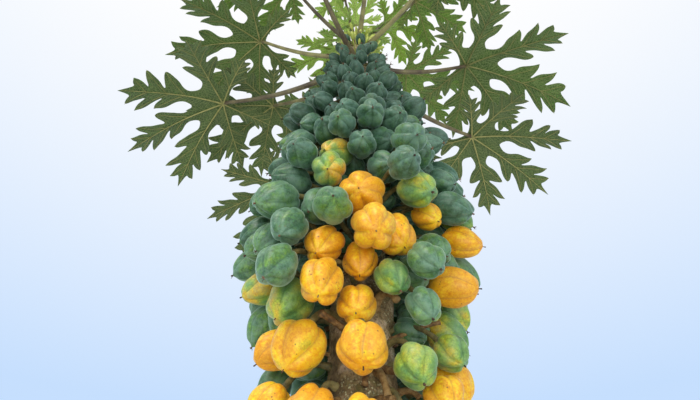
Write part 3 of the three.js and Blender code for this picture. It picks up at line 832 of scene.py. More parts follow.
def makeFruitStalk(f, n):
    girth, axis, number = f.girth[n], f.axis[n], f.number[n]
    end = f.middle[n] - axis * f.length[n] * (fruitRule["base"] - fruitStalk["intoBase"])
    packed = int(bunchPacked[f.bunch[n]])
    hangs = fruitStalk["hangs"][packed] * (1 if packed else mix(0.6, 1.3, chance(number, 70)))
    height = min(end[2] + girth * hangs, stem["height"] - 15)
    turn = turnOf(end) + spread(number, 71, fruitStalk["turnSpread"][packed])
    start = atBark(turn, height, -fruitStalk["inside"])
    bow = np.linalg.norm(end - start) * fruitStalk["bow"]
    leave = away(turn, fruitStalk["leaves"][packed])
    line = bezier(start, start + leave * bow, end - axis * bow, end, fruitStalk["steps"])
    share = np.linspace(0, 1, fruitStalk["steps"] + 1)
    swell = 1 + fruitStalk["footSwell"] * np.exp(-share / 0.12)
    swell = swell + fruitStalk["endSwell"] * np.exp((share - 1) / 0.1)
    thick = max(girth * fruitStalk["thickness"], fruitStalk["least"])
    return tube(line, thick * swell, fruitStalk["sides"])


# Which fruit go into which piece: the least and most ripeness, and the heights.
fruitKinds = [
    ("young_green_fruit", 0, 0.2, 2440, 4000),
    ("upper_green_fruit", 0, 0.2, 2190, 2440),
    ("green_fruit", 0, 0.2, 0, 2190),
    ("turning_fruit", 0.2, 0.55, 0, 4000),
    ("yellowing_fruit", 0.55, 0.85, 0, 4000),
    ("ripe_fruit", 0.85, 1.01, 0, 4000),
]
gatheredFruit = {kind[0]: Gathered() for kind in fruitKinds}
fruitStalks, driedFlowers, innerFruit = Gathered(), Gathered(), Gathered()
for n in range(len(fruits.girth)):
    ripe, height = fruits.ripe[n], fruits.middle[n, 2]
    kind = next(
        name for name, least, most, low, high in fruitKinds
        if least <= ripe < most and low <= height < high
    )
    points, faces, facts = makeFruit(fruits, n)
    gatheredFruit[kind].add(points, faces, **facts)
    points, faces = makeFruitStalk(fruits, n)
    fruitStalks.add(points, faces, tone=float(chance(fruits.number[n], 72)))
    for points, faces in makeDriedFlower(fruits, n):
        driedFlowers.add(points, faces, tone=float(chance(fruits.number[n], 73)))

# Small green fruit close to the bark, in the dark between the others, where each bunch has its core.
innerRule = {
    "lowest": 1850,
    "highest": 2545,
    "climb": 4.6,
    "girth": 46,
    "droop": 25,
    "droopSpread": 50,
    "out": 25,
    "apart": 0.36,  # from the outer fruit, of both girths
    "first": 900,
    "bareFront": 2080,  # below this height the stem shows between its fruit on one side
    "front": 270,
    "frontHalf": 64,
    "listed": [(132, 1912), (150, 1880)],  # turn and height of two more, low down
}
innerPlaces = [
    (k * goldenTurn, innerRule["lowest"] + k * innerRule["climb"])
    for k in range(int((innerRule["highest"] - innerRule["lowest"]) / innerRule["climb"]))
]
for k, (turn, height) in enumerate(innerPlaces + innerRule["listed"]):
    number = innerRule["first"] + k
    girth = innerRule["girth"] * mix(0.8, 1.15, chance(number, 80))
    inFront = abs(turnGap(innerRule["front"], turn)) < innerRule["frontHalf"]
    if inFront and height < innerRule["bareFront"]:
        continue
    droop = spread(number, 81, innerRule["droopSpread"]) + innerRule["droop"]
    small = newFruits(number, turn, height, girth, droop, 0, 0, False)
    out = stemRadius(height) + innerRule["out"] + girth * 0.3 * chance(number, 82)
    small.middle = stemMiddle(np.array([height])) + away(small.turn) * out
    aim(small)
    apart = np.linalg.norm(fruits.middle - small.middle, axis=1)
    if (apart > (fruits.girth + girth) * innerRule["apart"]).all():
        points, faces, facts = makeFruit(small, 0)
        innerFruit.add(points, faces, **facts)
report("fruit shaped")

# Leaf blades. The outline is drawn flat, with the middle lobe one unit long, then bent into place.
blade = {
    "lobeTurns": (-132, -88, -43, 0, 43, 88, 132),
    "lobeLengths": (0.6, 0.82, 0.95, 1, 0.95, 0.82, 0.6),
    "backTurn": 30,
    "between": 1.5,  # degrees kept free on each side of the line between two lobes
    "baseLength": 0.1,
    "sinusShare": 0.28,  # where the blade is cut in to between lobes, of their length
    "sinusWidth": 9,
    "waist": (0.375, 0.052),
    # Side lobes from the base of a lobe to its tip: outer edge, point, inner edge and the cut after it,
    # each along and aside, of the lobe's length.
    "sideLobes": (
        ((0.5, 0.16), (0.62, 0.205), (0.625, 0.15), (0.56, 0.045)),
        ((0.69, 0.13), (0.81, 0.195), (0.8, 0.13), (0.73, 0.05)),
        ((0.81, 0.1), (0.905, 0.135), (0.9, 0.08), (0.87, 0.045)),
    ),
    "jitter": 0.12,
    "slide": 0.03,
    "shorter": 0.12,  # at most, of a lobe's length
    "pointed": 0.6,  # share of side lobes that end in a point and not rounded
    "edgeStep": 0.016,
    "spacing": 0.034,
    "sag": 0.2,
    "droop": 0.16,  # of some lobes' tips
    "twist": 0.7,
    "heartAhead": 12,
    "thickness": 1.1,
    "fold": 0.14,  # how steeply the halves of a lobe rise from its rib
    "ripple": 0.011,
    "wave": 0.012,
    "rib": 2.5,  # radius at the heart of the largest leaf
    "ribEnd": 0.6,
    "sideRib": 1.1,
}
longestStalk = max(leaf[2] for leaf in leafFacts)
longestBlade = max(leaf[4] for leaf in leafFacts)


# The main lobes' directions, and on each hand their side lobes, whose edges are drawn as corners that are
# then rounded off. Some are kept as sharp points.
def leafLobes(number):
    lobes = []
    for k, (turn, length) in enumerate(zip(blade["lobeTurns"], blade["lobeLengths"])):
        ownTurn = turn + spread(number * 10 + k, 80, 4)
        length = length * (1 - blade["shorter"] * chance(number * 10 + k, 79))
        hands = []
        for hand in (-1, 1):
            sideLobes = []
            for i, corners in enumerate(blade["sideLobes"]):
                seed = number * 100 + k * 10 + i * 2 + (hand > 0)
                grow = 1 + spread(seed, 81, 2 * blade["jitter"])
                slide = spread(seed, 82, blade["slide"])
                deep = 1 + spread(seed, 83, 1)
                own = [(ahead + slide, aside * grow * hand) for ahead, aside in corners[:3]]
                own.append((corners[3][0] + slide, corners[3][1] * deep * hand))
                sideLobes.append((own, chance(seed, 84) < blade["pointed"]))
            hands.append(sideLobes)
        lobes.append((ownTurn, length, hands))
    return lobes


# A flat point, from a lobe's direction and length and how far ahead and aside it is, of that length.
def placed(turn, length, ahead=1, aside=0):
    t = np.radians(turn)
    forward, beside = np.array([np.cos(t), np.sin(t)]), np.array([-np.sin(t), np.cos(t)])
    return (forward * ahead + beside * aside) * length


# The corners of the outline, each with whether it is kept sharp.
def leafCorners(lobes):
    turns = [lobe[0] for lobe in lobes]
    gaps = [180] + [(b - a) / 2 - blade["between"] for a, b in zip(turns, turns[1:])] + [180]
    corners = [(placed(turns[0] - blade["backTurn"], blade["baseLength"]), False)]
    for k, (turn, length, hands) in enumerate(lobes):
        waist, halfWaist = blade["waist"]
        for hand, sideLobes in zip((-1, 1), hands):
            edge = [((waist, halfWaist * hand), False)]
            for (outer, point, inner, cut), sharp in sideLobes:
                edge += [(outer, False), (point, sharp), (inner, False), (cut, False)]
            most = np.tan(np.radians(min(gaps[k if hand < 0 else k + 1], 80)))
            edge = edge if hand < 0 else edge[::-1]
            for (ahead, aside), sharp in edge:
                aside = np.clip(aside, -most * ahead, most * ahead)
                corners.append((placed(turn, length, ahead, aside), sharp))
            if hand < 0:
                corners.append((placed(turn, length), True))
        if k + 1 < len(lobes):
            reach = blade["sinusShare"] * (length + lobes[k + 1][1]) / 2
            middle = (turn + turns[k + 1]) / 2
            for side in (-0.5, 0.5):
                corners.append((placed(middle + side * blade["sinusWidth"], reach), False))
    corners.append((placed(turns[-1] + blade["backTurn"], blade["baseLength"]), False))
    return corners


# Rounds the corners off by cutting each one twice, then spaces the points out.
def leafOutline(corners):
    for _ in range(2):
        cut = []
        for (here, sharp), (after, afterSharp) in zip(corners, corners[1:] + corners[:1]):
            cut.append((here, True) if sharp else (mix(here, after, 0.25), False))
            if not afterSharp:
                cut.append((mix(here, after, 0.75), False))
        corners = cut
    outline = []
    for (here, sharp), (after, _) in zip(corners, corners[1:] + corners[:1]):
        far = np.linalg.norm(after - here)
        if outline and not sharp and np.linalg.norm(here - outline[-1]) < blade["edgeStep"] * 0.4:
            continue
        steps = max(round(far / blade["edgeStep"]), 1)
        outline += [mix(here, after, t) for t in np.arange(steps) / steps]
    return np.array(outline)


def inside(points, outline):
    a, b = outline, np.roll(outline, -1, 0)
    x, y = points[:, None, 0], points[:, None, 1]
    crosses = (a[:, 1] > y) != (b[:, 1] > y)
    rise = np.where(np.abs(b[:, 1] - a[:, 1]) < 1e-12, 1e-12, b[:, 1] - a[:, 1])
    at = a[:, 0] + (y - a[:, 1]) / rise * (b[:, 0] - a[:, 0])
    return (crosses & (x < at)).sum(1) % 2 == 1


def awayFrom(points, line):
    return np.linalg.norm(points[:, None] - line[None], axis=-1).min(1)


# Flat points and triangles of a blade, with its own points along the ribs.
def flatBlade(lobes):
    outline = leafOutline(leafCorners(lobes))
    step = blade["spacing"]
    rows = np.arange(-1, 1.001, step * 0.866)
    places = np.arange(-0.7, 1.001, step)
    grid = np.array([(x + step / 2 * (i % 2), y) for i, y in enumerate(rows) for x in places])
    ribs = np.concatenate([
        [placed(turn, length, share) for share in np.arange(0.03, 0.96, step / length * 0.8)]
        for turn, length, _ in lobes
    ])
    ribs = ribs[inside(ribs, outline)]
    ribs = ribs[awayFrom(ribs, outline) > step * 0.25]
    grid = grid[inside(grid, outline)]
    grid = grid[(awayFrom(grid, outline) > step * 0.55) & (awayFrom(grid, ribs) > step * 0.6)]
    points = np.concatenate([outline, ribs, grid])
    count = len(outline)
    made = delaunay_2d_cdt([Vector(p) for p in points], [], [list(range(count))], 1, 1e-7)
    flat = np.array([tuple(v) for v in made[0]])
    triangles = np.array([face for face in made[2]])
    a, b, c = (flat[triangles[:, i]] for i in range(3))
    area = (b[:, 0] - a[:, 0]) * (c[:, 1] - a[:, 1]) - (b[:, 1] - a[:, 1]) * (c[:, 0] - a[:, 0])
    triangles[area < 0] = triangles[area < 0][:, ::-1]
    return flat, triangles[np.abs(area) > 1e-9]


# Each flat point's own rib: which lobe, how far along it and how far aside.
def ribPlace(flat, lobes):
    length = np.hypot(flat[:, 0], flat[:, 1])
    turn = np.degrees(np.arctan2(flat[:, 1], flat[:, 0]))
    turns = np.array([lobe[0] for lobe in lobes])
    gap = turnGap(turns[None], turn[:, None])
    lobe = np.abs(gap).argmin(1)
    gap = np.radians(gap[np.arange(len(flat)), lobe])
    return lobe, length * np.cos(gap), length * np.sin(gap)


def leafFrame(leaf):
    forward = away(leaf[0], -leaf[5])
    side = unit(np.cross(upward, forward))
    return stalkLine(leaf, np.array([1.0]))[0], forward, side, np.cross(forward, side)


# Bends flat points into the leaf's place, with the lobes folded along their ribs, rippled and drooping.
def bent(leaf, number, flat, lobes, lift):
    heart, forward, side, up = leafFrame(leaf)
    size = leaf[4]
    lobe, run, aside = ribPlace(flat, lobes)
    reach = np.hypot(flat[:, 0], flat[:, 1])
    seeds = number * 10 + lobe
    outer = smooth(reach, 0.15, 0.9)
    rise = blade["fold"] * np.abs(aside) * smooth(reach, 0.02, 0.2)
    rise = rise + spread(seeds, 90, blade["twist"]) * aside * outer
    rise = rise - blade["droop"] * chance(seeds, 91) ** 2 * reach**3
    ripple = np.sin(run * 34 + chance(seeds, 92) * 6) * smooth(np.abs(aside), 0.02, 0.14)
    rise = rise + blade["ripple"] * ripple
    rise = rise - blade["sag"] * reach * reach
    wave = np.sin(6 * flat[:, 0] + number) * np.cos(5 * flat[:, 1] + 2 * number)
    rise = rise + blade["wave"] * wave
    ahead = blade["heartAhead"] + flat[:, 0] * size
    return (
        heart
        + forward * ahead[:, None]
        + side * (flat[:, 1] * size)[:, None]
        + up * (rise * size + lift)[:, None]
    )


def makeBlade(leaf, number, lobes):
    flat, triangles = flatBlade(lobes)
    half = blade["thickness"] / 2
    top, under = (bent(leaf, number, flat, lobes, lift) for lift in (half, -half))
    count = len(flat)
    edges = dict.fromkeys(edge for a, b, c in triangles.tolist() for edge in ((a, b), (b, c), (c, a)))
    rim = np.array([edge for edge in edges if edge[::-1] not in edges])
    sides = np.stack([rim[:, 1], rim[:, 0], rim[:, 0] + count, rim[:, 1] + count], -1)
    _, run, aside = ribPlace(flat, lobes)
    facts = {
        "ribRun": np.tile(run * leaf[4] * mm, 2),
        "ribAside": np.tile(aside * leaf[4] * mm, 2),
        "tone": float(chance(number, 93)),
    }
    return np.concatenate([top, under]), [triangles, triangles[:, ::-1] + count, sides], facts


# Raised ribs under the blade: one up each lobe, and one out of it to each side lobe.
def addRibs(gathered, leaf, number, lobes):
    scale = leaf[4] / longestBlade
    start = np.array([-blade["heartAhead"] / leaf[4] * 0.8, 0])
    for turn, length, hands in lobes:
        tip = placed(turn, length, 0.97)
        share = np.linspace(0, 1, 17)
        flat = start * (1 - share)[:, None] ** 2 + tip * share[:, None]
        radii = mix(blade["rib"], blade["ribEnd"], share**0.8) * scale
        line = bent(leaf, number, flat, lobes, -radii * 0.55 - blade["thickness"] / 2)
        gathered.add(*tube(line, radii, 6), tone=float(chance(number, 94)))
        for sideLobes in hands:
            for (_, (ahead, aside), _, _), _ in sideLobes:
                root = max(ahead - abs(aside) * 1.25, 0.12)
                share = np.linspace(0, 1, 8)
                bow = np.array([mix(root, ahead, share), aside * share**1.15 * 0.94])
                flat = np.array([placed(turn, length, a, b) for a, b in bow.T])
                radii = mix(blade["sideRib"], blade["ribEnd"] * 0.7, share) * scale
                line = bent(leaf, number, flat, lobes, -radii * 0.5 - blade["thickness"] / 2)
                gathered.add(*tube(line, radii, 5), tone=float(chance(number, 95)))


def makeLeafStalk(leaf, number):
    share = np.linspace(0, 1, leafStalk["fineSteps"] + 1) ** 1.15
    line = stalkLine(leaf, share)
    slim = np.sqrt(leaf[2] / longestStalk)
    radius = mix(leafStalk["foot"], leafStalk["end"], share) * slim
    swell = 1 + leafStalk["swelling"] * np.exp(-share / leafStalk["swellLength"])
    radius = radius * (swell + leafStalk["endSwelling"] * np.exp((share - 1) / leafStalk["endLength"]))
    turns = evenTurns(leafStalk["sides"])
    ridge = 1 + leafStalk["ridgeDepth"] * np.cos(leafStalk["ridges"] * turns + number)
    return tube(line, radius[:, None] * ridge[None], leafStalk["sides"])


# Small leaves that are just opening, round the stem's tip, in the same form as leafFacts.
openingLeaves = [
    (124, 2930, 80, 62, 128, -36),
    (262, 2932, 46, 80, 112, -66),
    (38, 2934, 62, 70, 112, -44),
    (196, 2936, 50, 74, 92, -60),
]
leafKinds = [
    ("old_leaf_blades", 0, 5),
    ("leaf_blades", 5, 10),
    ("upper_leaf_blades", 10, 14),
    ("young_leaf_blades", 14, 21),
]
gatheredBlades = {kind[0]: Gathered() for kind in leafKinds}
leafRibs, leafStalks = Gathered(), Gathered()
for number, leaf in enumerate(leafFacts + openingLeaves):
    kind = next(name for name, low, high in leafKinds if low <= number < high)
    lobes = leafLobes(number)
    points, faces, facts = makeBlade(leaf, number, lobes)
    gatheredBlades[kind].add(points, faces, **facts)
    addRibs(leafRibs, leaf, number, lobes)
    points, faces = makeLeafStalk(leaf, number)
    leafStalks.add(points, faces, tone=float(chance(number, 96)))
report("leaves shaped")

# The stem's bark: rings, lumps and fissures, and a scar wherever a leaf has fallen.
bark = {
    "sides": 96,
    "rings": 460,
    "lumps": 2.4,
    "wrinkles": 0.7,
    "fissures": 1.8,
    "fissureHeight": 420,
    "scarWidth": 23,  # half its width low on the stem
    "scarHeight": 11,
    "scarDepth": 3.2,
    "scarRim": 3.6,
    "scarsFrom": 30,
    "scarsTo": 2895,
    "scarSpread": 22,
    "scarStep": 30,  # from a scar to the next one up, low on the stem
    "topStep": 9,
    "crowded": 1.04,  # over 1 crowds the rings towards the ground
    "tipRound": 24,
    "tipSmooth": 160,  # under the tip, where the relief fades out
    # Painted shade: hollows in the relief this deep are drawn fully darker.
    "hollowShadeDepth": 3,
}


def barkRelief(turn, height):
    t = np.radians(turn)
    lumps = np.sin(2 * t + height / 83) * np.sin(height / 61 + 1)
    lumps = lumps + 0.7 * np.sin(3 * t - height / 47 + 2)
    lumps = lumps + 0.5 * np.sin(5 * t + height / 29) * np.sin(height / 23 + 3 * np.sin(t))
    wrinkles = np.sin(height / 4.3 + 2.2 * np.sin(3 * t + height / 71) + np.sin(8 * t))
    wrinkles = wrinkles + np.sin(height / 2.6 + 2 * np.sin(5 * t - height / 53))
    wander = 0.35 * np.sin(height / 57) + 0.2 * np.sin(height / 23 + 4 * t)
    fissures = -np.exp(-((np.sin(9 * t + 4 * wander) / 0.24) ** 2) - height / bark["fissureHeight"])
    small = np.clip(stemRadius(height) / stem["foot"], 0.25, 1)
    relief = bark["lumps"] * lumps * small + bark["wrinkles"] * wrinkles * small
    relief = relief + bark["fissures"] * fissures * (1 + 0.5 * np.sin(height / 37 + 2 * t))
    scarred = np.zeros_like(relief)
    at, number = bark["scarsFrom"], 0
    while at < bark["scarsTo"]:
        scarTurn = number * goldenTurn + spread(number, 200, bark["scarSpread"])
        size = float(stemRadius(at)) / stem["foot"] * mix(0.8, 1.25, chance(number, 201))
        wide, tall = bark["scarWidth"] * size, bark["scarHeight"] * size
        aside = np.radians(turnGap(scarTurn, turn)) * stemRadius(at) / wide
        rise = (height - at) / tall - 0.35 * (1 - aside * aside)
        far = np.sqrt(aside**2 + rise**2)
        near = far < 2.2
        worn = mix(0.5, 1, chance(number, 202)) * mix(0.7, 1, min(at / 900, 1))
        hollow = -bark["scarDepth"] * (1 - smooth(far, 0.55, 1.05))
        rim = bark["scarRim"] * np.exp(-(((far - 1.12) / 0.22) ** 2))
        relief = relief + np.where(near, (hollow + rim) * worn * np.sqrt(size), 0)
        scarred = np.maximum(scarred, np.where(near, (1 - smooth(far, 0.75, 1.1)) * worn, 0))
        at += mix(bark["scarStep"], bark["topStep"], at / stem["height"])
        number += 1
    return relief, scarred


def makeStemMesh():
    share = np.linspace(0, 1, bark["rings"])
    heights = stem["height"] * share ** bark["crowded"]
    turns = np.linspace(0, 360, bark["sides"], endpoint=False)
    turn, height = np.meshgrid(turns, heights)
    relief, scarred = barkRelief(turn, height)
    tip = np.clip((stem["height"] - height) / bark["tipRound"], 0, 1)
    relief = relief * smooth(stem["height"] - height, 0, bark["tipSmooth"])
    out = (stemRadius(height) + flareAt(height, turn) + relief) * np.sqrt(1 - (1 - tip) ** 2 * 0.995)
    points = stemMiddle(height) + away(turn) * out[..., None]
    ends = stemMiddle(np.array([0.0, stem["height"]]))
    points = np.concatenate([points.reshape(-1, 3), ends])
    # Painted shade: the hollows of the relief are darkened, but not inside the leaf scars.
    crevice = np.clip(-relief / bark["hollowShadeDepth"] + 0.05, 0, 1) * (1 - scarred)
    crevice = np.append(crevice.ravel(), [0, 0])
    return points, ringFaces(len(heights), bark["sides"]), {
        "crevice": crevice,
        "scar": np.append(scarred.ravel(), [0, 0]),
    }


# What is left of stalks whose fruit has dropped: short brown stubs, each with a cut-off end.
stubs = {
    "lowest": 1560,
    "highest": 2060,
    "count": 30,
    "firstTurn": 40,
    "turnSpread": 30,
    "shortest": 16,
    "longest": 72,
    "leaves": 28,  # degrees that it rises where it leaves the bark
    "leaveSpread": 30,
    "hangs": (-50, -80),  # degrees that its end points down
    "hangSpread": 60,
    "radius": 4.6,
    "inside": 6,
    "footSwell": 0.8,
    "taper": 0.2,
    "endSwell": 0.22,
    "steps": 12,
    "sides": 9,
    # Turn, height, length and radius, then the way that one leaves the bark and the way that it hangs.
    "listed": [
        (292, 2010, 96, 7.2, 296, 40, 320, -62),
        (262, 1948, 84, 6.4, 232, 12, 225, 4),
        (287, 1902, 70, 6.0, 250, -20, 262, -70),
        (293, 1896, 80, 6.6, 285, -25, 290, -76),
        (299, 1900, 84, 6.0, 318, -12, 330, -60),
        (279, 1838, 60, 6.2, 296, 10, 310, -30),
        (318, 1952, 92, 4.2, 330, 18, 352, 8),
    ],
}


def someStub(k):
    height = mix(stubs["lowest"], stubs["highest"], (k + chance(k, 210)) / stubs["count"])
    turn = k * goldenTurn + stubs["firstTurn"] + spread(k, 211, stubs["turnSpread"])
    length = mix(stubs["shortest"], stubs["longest"], chance(k, 212) ** 1.6)
    radius = stubs["radius"] * mix(0.75, 1.25, chance(k, 216))
    leaveTurn = turn + spread(k, 213, stubs["leaveSpread"])
    hangTurn, hangRise = turn + spread(k, 214, stubs["hangSpread"]), mix(*stubs["hangs"], chance(k, 215))
    return turn, height, length, radius, leaveTurn, stubs["leaves"], hangTurn, hangRise


def makeStub(turn, height, length, radius, leaveTurn, leaveRise, hangTurn, hangRise):
    start = atBark(turn, height, -stubs["inside"])
    leave, hang = away(leaveTurn, leaveRise), away(hangTurn, hangRise)
    end = start + leave * length * 0.55 + hang * length * 0.55
    line = bezier(start, start + leave * length * 0.4, end - hang * length * 0.3, end, stubs["steps"])
    share = np.linspace(0, 1, stubs["steps"] + 1)
    swell = stubs["footSwell"] * np.exp(-share / 0.14) + stubs["endSwell"] * np.exp((share - 1) / 0.05)
    return tube(line, radius * (1 + swell - stubs["taper"] * share), stubs["sides"])


oldStubs = Gathered()
for k, facts in enumerate([*map(someStub, range(stubs["count"])), *stubs["listed"]]):
    points, faces = makeStub(*facts)
    oldStubs.add(points, faces, tone=float(chance(k, 217)))

# Flower buds in the axils of the upper leaves: five narrow petals closed to a point, on a short stalk.
buds = {
    "lowest": 2800,
    "highest": 2922,
    "count": 64,
    "length": 22,
    "radius": 4.6,
    "profile": ((0, 0.4), (0.06, 0.75), (0.25, 0.8), (0.5, 1), (0.75, 0.85), (0.92, 0.5), (1, 0.16)),
    "sizes": (0.7, 1.15),
    "stalk": 1.5,
    "out": (37.5, 18),  # low and high
    "rises": (5, 55),
    "inside": 4,
    "petals": 5,
    "petalDepth": 0.13,
}


def makeBud(k):
    share = (k + 0.5) / buds["count"]
    height = mix(buds["lowest"], buds["highest"], share)
    turn = k * goldenTurn * 0.5 + 15
    lift = mix(*buds["out"], share) * mix(0.6, 1.3, chance(k, 220))
    out = away(turn, mix(*buds["rises"], chance(k, 221)))
    start = atBark(turn, height, -buds["inside"])
    foot = start + out * (lift + 6)
    size = mix(*buds["sizes"], chance(k, 222))
    share, wide = np.array(buds["profile"]).T
    wide = wide * buds["radius"] * size
    line = foot + out * (share * buds["length"] * size)[:, None]
    sides = 2 * buds["petals"]
    petals = 1 + buds["petalDepth"] * np.cos(buds["petals"] * evenTurns(sides))
    bud = tube(line, wide[:, None] * petals[None], sides)
    stalk = tube(mix(start, foot + out * 2, np.linspace(0, 1, 4)[:, None]), buds["stalk"] * size, 5)
    return bud, stalk


flowerBuds = Gathered()
for k in range(buds["count"]):
    (points, faces), (stalkPoints, stalkFaces) = makeBud(k)
    flowerBuds.add(points, faces, tone=float(chance(k, 223)))
    flowerBuds.add(stalkPoints, stalkFaces, tone=0.2)

ownTone = 0.12  # how much riper one fruit may look than another


# Waxy papaya skin: a thick cuticle, so a soft gloss, under a pale bloom of wax that is rubbed off in
# places. The bloom shows most at a slant, as a blue grey rim on green fruit and a creamy one on ripe.
def waxySkin(look):
    material, tree = newMaterial(
        look["skin"],
        Roughness=look["roughness"],
        IOR=1.45,
        Sheen_Weight=look["sheen"],
        Sheen_Roughness=0.3,
        Sheen_Tint=look["sheenTint"],
        Subsurface_Weight=0.05,
        Subsurface_Radius=(0.9, 0.55, 0.2),
        Subsurface_Scale=0.006,
    )
    place = addNode(tree, "TexCoord", out="Object")
    ripeness, tone, crease = (
        addNode(tree, "Attribute", attribute_name=fact, out="Fac") for fact in ("ripeness", "tone", "crease")
    )
    # Drifts of colour of about 25 mm, mottling of about 6 mm and pores of 2 mm, coarser than real ones.
    drift = addNode(tree, "TexNoise", {"Vector": place, "Scale": 40.0, "Detail": 3.0})
    mottle = addNode(tree, "TexNoise", {"Vector": place, "Scale": 165.0, "Detail": 4.0})
    pores = addNode(tree, "TexNoise", {"Vector": place, "Scale": 480.0, "Detail": 2.0})
    shade = ripeness
    for pattern, share in ((drift, look["cloudy"]), (mottle, look["mottled"]), (tone, ownTone)):
        shade = addNode(tree, "Math", {0: pattern, 1: share, 2: shade}, operation="MULTIPLY_ADD")
    middle = (look["cloudy"] + look["mottled"] + ownTone) / 2
    shade = addNode(tree, "Math", {0: shade, 1: middle}, operation="SUBTRACT")
    base = addNode(tree, "ValToRGB", {"Fac": shade}, stops=look["stops"], out="Color")
    # Scuffs of about 4 mm, lighter and darker, so that the skin isn't even from near to.
    scuffs = addNode(
        tree, "TexNoise",
        {"Vector": place, "Scale": 240.0, "Detail": 5.0, "Roughness": 0.7, "Distortion": 0.6},
    )
    scuffs = addNode(tree, "MapRange", {"Value": scuffs, "From Min": 0.3, "From Max": 0.7})
    base = addNode(
        tree, "Mix", {mixShare: look["scuffed"], mixFirst: base, mixSecond: scuffs}, mixResult,
        data_type="RGBA", blend_type="OVERLAY",
    )
    # Wax in cloudy patches of about 25 mm, and a darker tint along the floor of each furrow, partly the
    # skin's own line and partly painted shade of the groove.
    wax = addNode(tree, "TexNoise", {"Vector": place, "Scale": 38.0, "Detail": 6.0, "Roughness": 0.72})
    wax = addNode(
        tree, "MapRange", {"Value": wax, "From Min": 0.42, "From Max": 0.6, "To Max": look["wax"]},
    )
    # Darker along each furrow's floor: partly the skin's own line, partly painted shade.
    deep = addNode(tree, "Math", {0: crease, 1: 3.2}, operation="POWER")
    deep = addNode(tree, "Math", {0: deep, 1: look["furrowShading"]}, operation="MULTIPLY")
    # Brown specks of about 2 mm, one to each 10 mm of skin at most.
    cells = addNode(tree, "TexVoronoi", {"Vector": place, "Scale": 95.0}, "Distance", feature="F1")
    speck = addNode(tree, "MapRange", {"Value": cells, "From Min": 0.17, "From Max": 0.09})
    few = addNode(tree, "TexNoise", {"Vector": place, "Scale": 60.0, "Detail": 1.0})
    few = addNode(
        tree, "MapRange", {"Value": few, "From Min": 0.52, "From Max": 0.6, "To Max": look["specks"]},
    )
    speck = addNode(tree, "Math", {0: speck, 1: few}, operation="MULTIPLY")
    for share, tint in ((wax, look["waxTint"]), (deep, look["furrowShadeTint"]), (speck, "#7a5420")):
        base = addNode(
            tree, "Mix", {mixShare: share, mixFirst: base, mixSecond: tint}, mixResult, data_type="RGBA",
        )
    dents = addNode(tree, "Math", {0: pores, 1: 0.25, 2: mottle}, operation="MULTIPLY_ADD")
    dents = addNode(tree, "Math", {0: speck, 1: -0.4, 2: dents}, operation="MULTIPLY_ADD")
    bump = addNode(tree, "Bump", {"Height": dents, "Strength": 0.4, "Distance": 0.0013})
    return finished(material, base, bump)


# In each look, a darker tint for the floor of the furrows: partly the skin's own line, partly painted shade.
fruitLooks = {
    "young_green_fruit": {
        "skin": "young papaya skin, thick bluish wax",
        "stops": [(0.0, "#29462f"), (0.12, "#355637"), (0.3, "#4a6d38")],
        "cloudy": 0.7, "mottled": 0.3, "scuffed": 0.55, "roughness": 0.5, "sheen": 0.9,
        "sheenTint": "#a6bcb0", "wax": 0.55, "waxTint": "#62806f", "furrowShading": 0.5,
        "furrowShadeTint": "#1f3a2a", "specks": 0.2,
    },
    "green_fruit": {
        "skin": "green papaya skin, bluish wax",
        "stops": [(0.0, "#3a5f3f"), (0.1, "#476e3a"), (0.24, "#5c8234"), (0.5, "#8a982f")],
        "cloudy": 0.85, "mottled": 0.35, "scuffed": 0.55, "roughness": 0.46, "sheen": 0.9,
        "sheenTint": "#b3cbbb", "wax": 0.62, "waxTint": "#74957a", "furrowShading": 0.45,
        "furrowShadeTint": "#2d4d33", "specks": 0.3,
    },
    "upper_green_fruit": {
        "skin": "green papaya skin, thick bluish wax",
        "stops": [(0.0, "#33553a"), (0.1, "#3f6438"), (0.24, "#547835"), (0.5, "#86952f")],
        "cloudy": 0.8, "mottled": 0.33, "scuffed": 0.55, "roughness": 0.47, "sheen": 0.9,
        "sheenTint": "#aec6b8", "wax": 0.62, "waxTint": "#6a8b77", "furrowShading": 0.45,
        "furrowShadeTint": "#28462f", "specks": 0.3,
    },
    "turning_fruit": {
        "skin": "turning papaya skin, thin wax",
        "stops": [(0.0, "#527d44"), (0.25, "#73963e"), (0.5, "#98a838"), (0.78, "#c8ac30"), (1.0, "#d6a624")],
        "cloudy": 0.7, "mottled": 0.4, "scuffed": 0.45, "roughness": 0.44, "sheen": 0.42,
        "sheenTint": "#cdd9c2", "wax": 0.34, "waxTint": "#88ab80", "furrowShading": 0.55,
        "furrowShadeTint": "#4f6c36", "specks": 0.5,
    },
    "yellowing_fruit": {
        "skin": "yellowing papaya skin, thin wax",
        "stops": [
            (0.0, "#4f7f45"), (0.35, "#7f9d38"), (0.55, "#b0a62e"), (0.75, "#d3a423"), (1.0, "#dca019"),
        ],
        "cloudy": 0.7, "mottled": 0.4, "scuffed": 0.42, "roughness": 0.42, "sheen": 0.36,
        "sheenTint": "#e6dcc4", "wax": 0.22, "waxTint": "#c3bd86", "furrowShading": 0.4,
        "furrowShadeTint": "#99833a", "specks": 0.7,
    },
    "ripe_fruit": {
        "skin": "ripe papaya skin, creamy wax",
        "stops": [(0.55, "#b9b12f"), (0.72, "#e6bf22"), (0.92, "#ebb318"), (1.0, "#dd9811")],
        "cloudy": 0.7, "mottled": 0.42, "scuffed": 0.44, "roughness": 0.46, "sheen": 0.16,
        "sheenTint": "#efd6bd", "wax": 0.2, "waxTint": "#efbd4c", "furrowShading": 0.55,
        "furrowShadeTint": "#b0773a", "specks": 0.9,
    },
}
fruitLooks["inner_green_fruit"] = {
    **fruitLooks["upper_green_fruit"],
    "skin": "green papaya skin, in the shade",
}


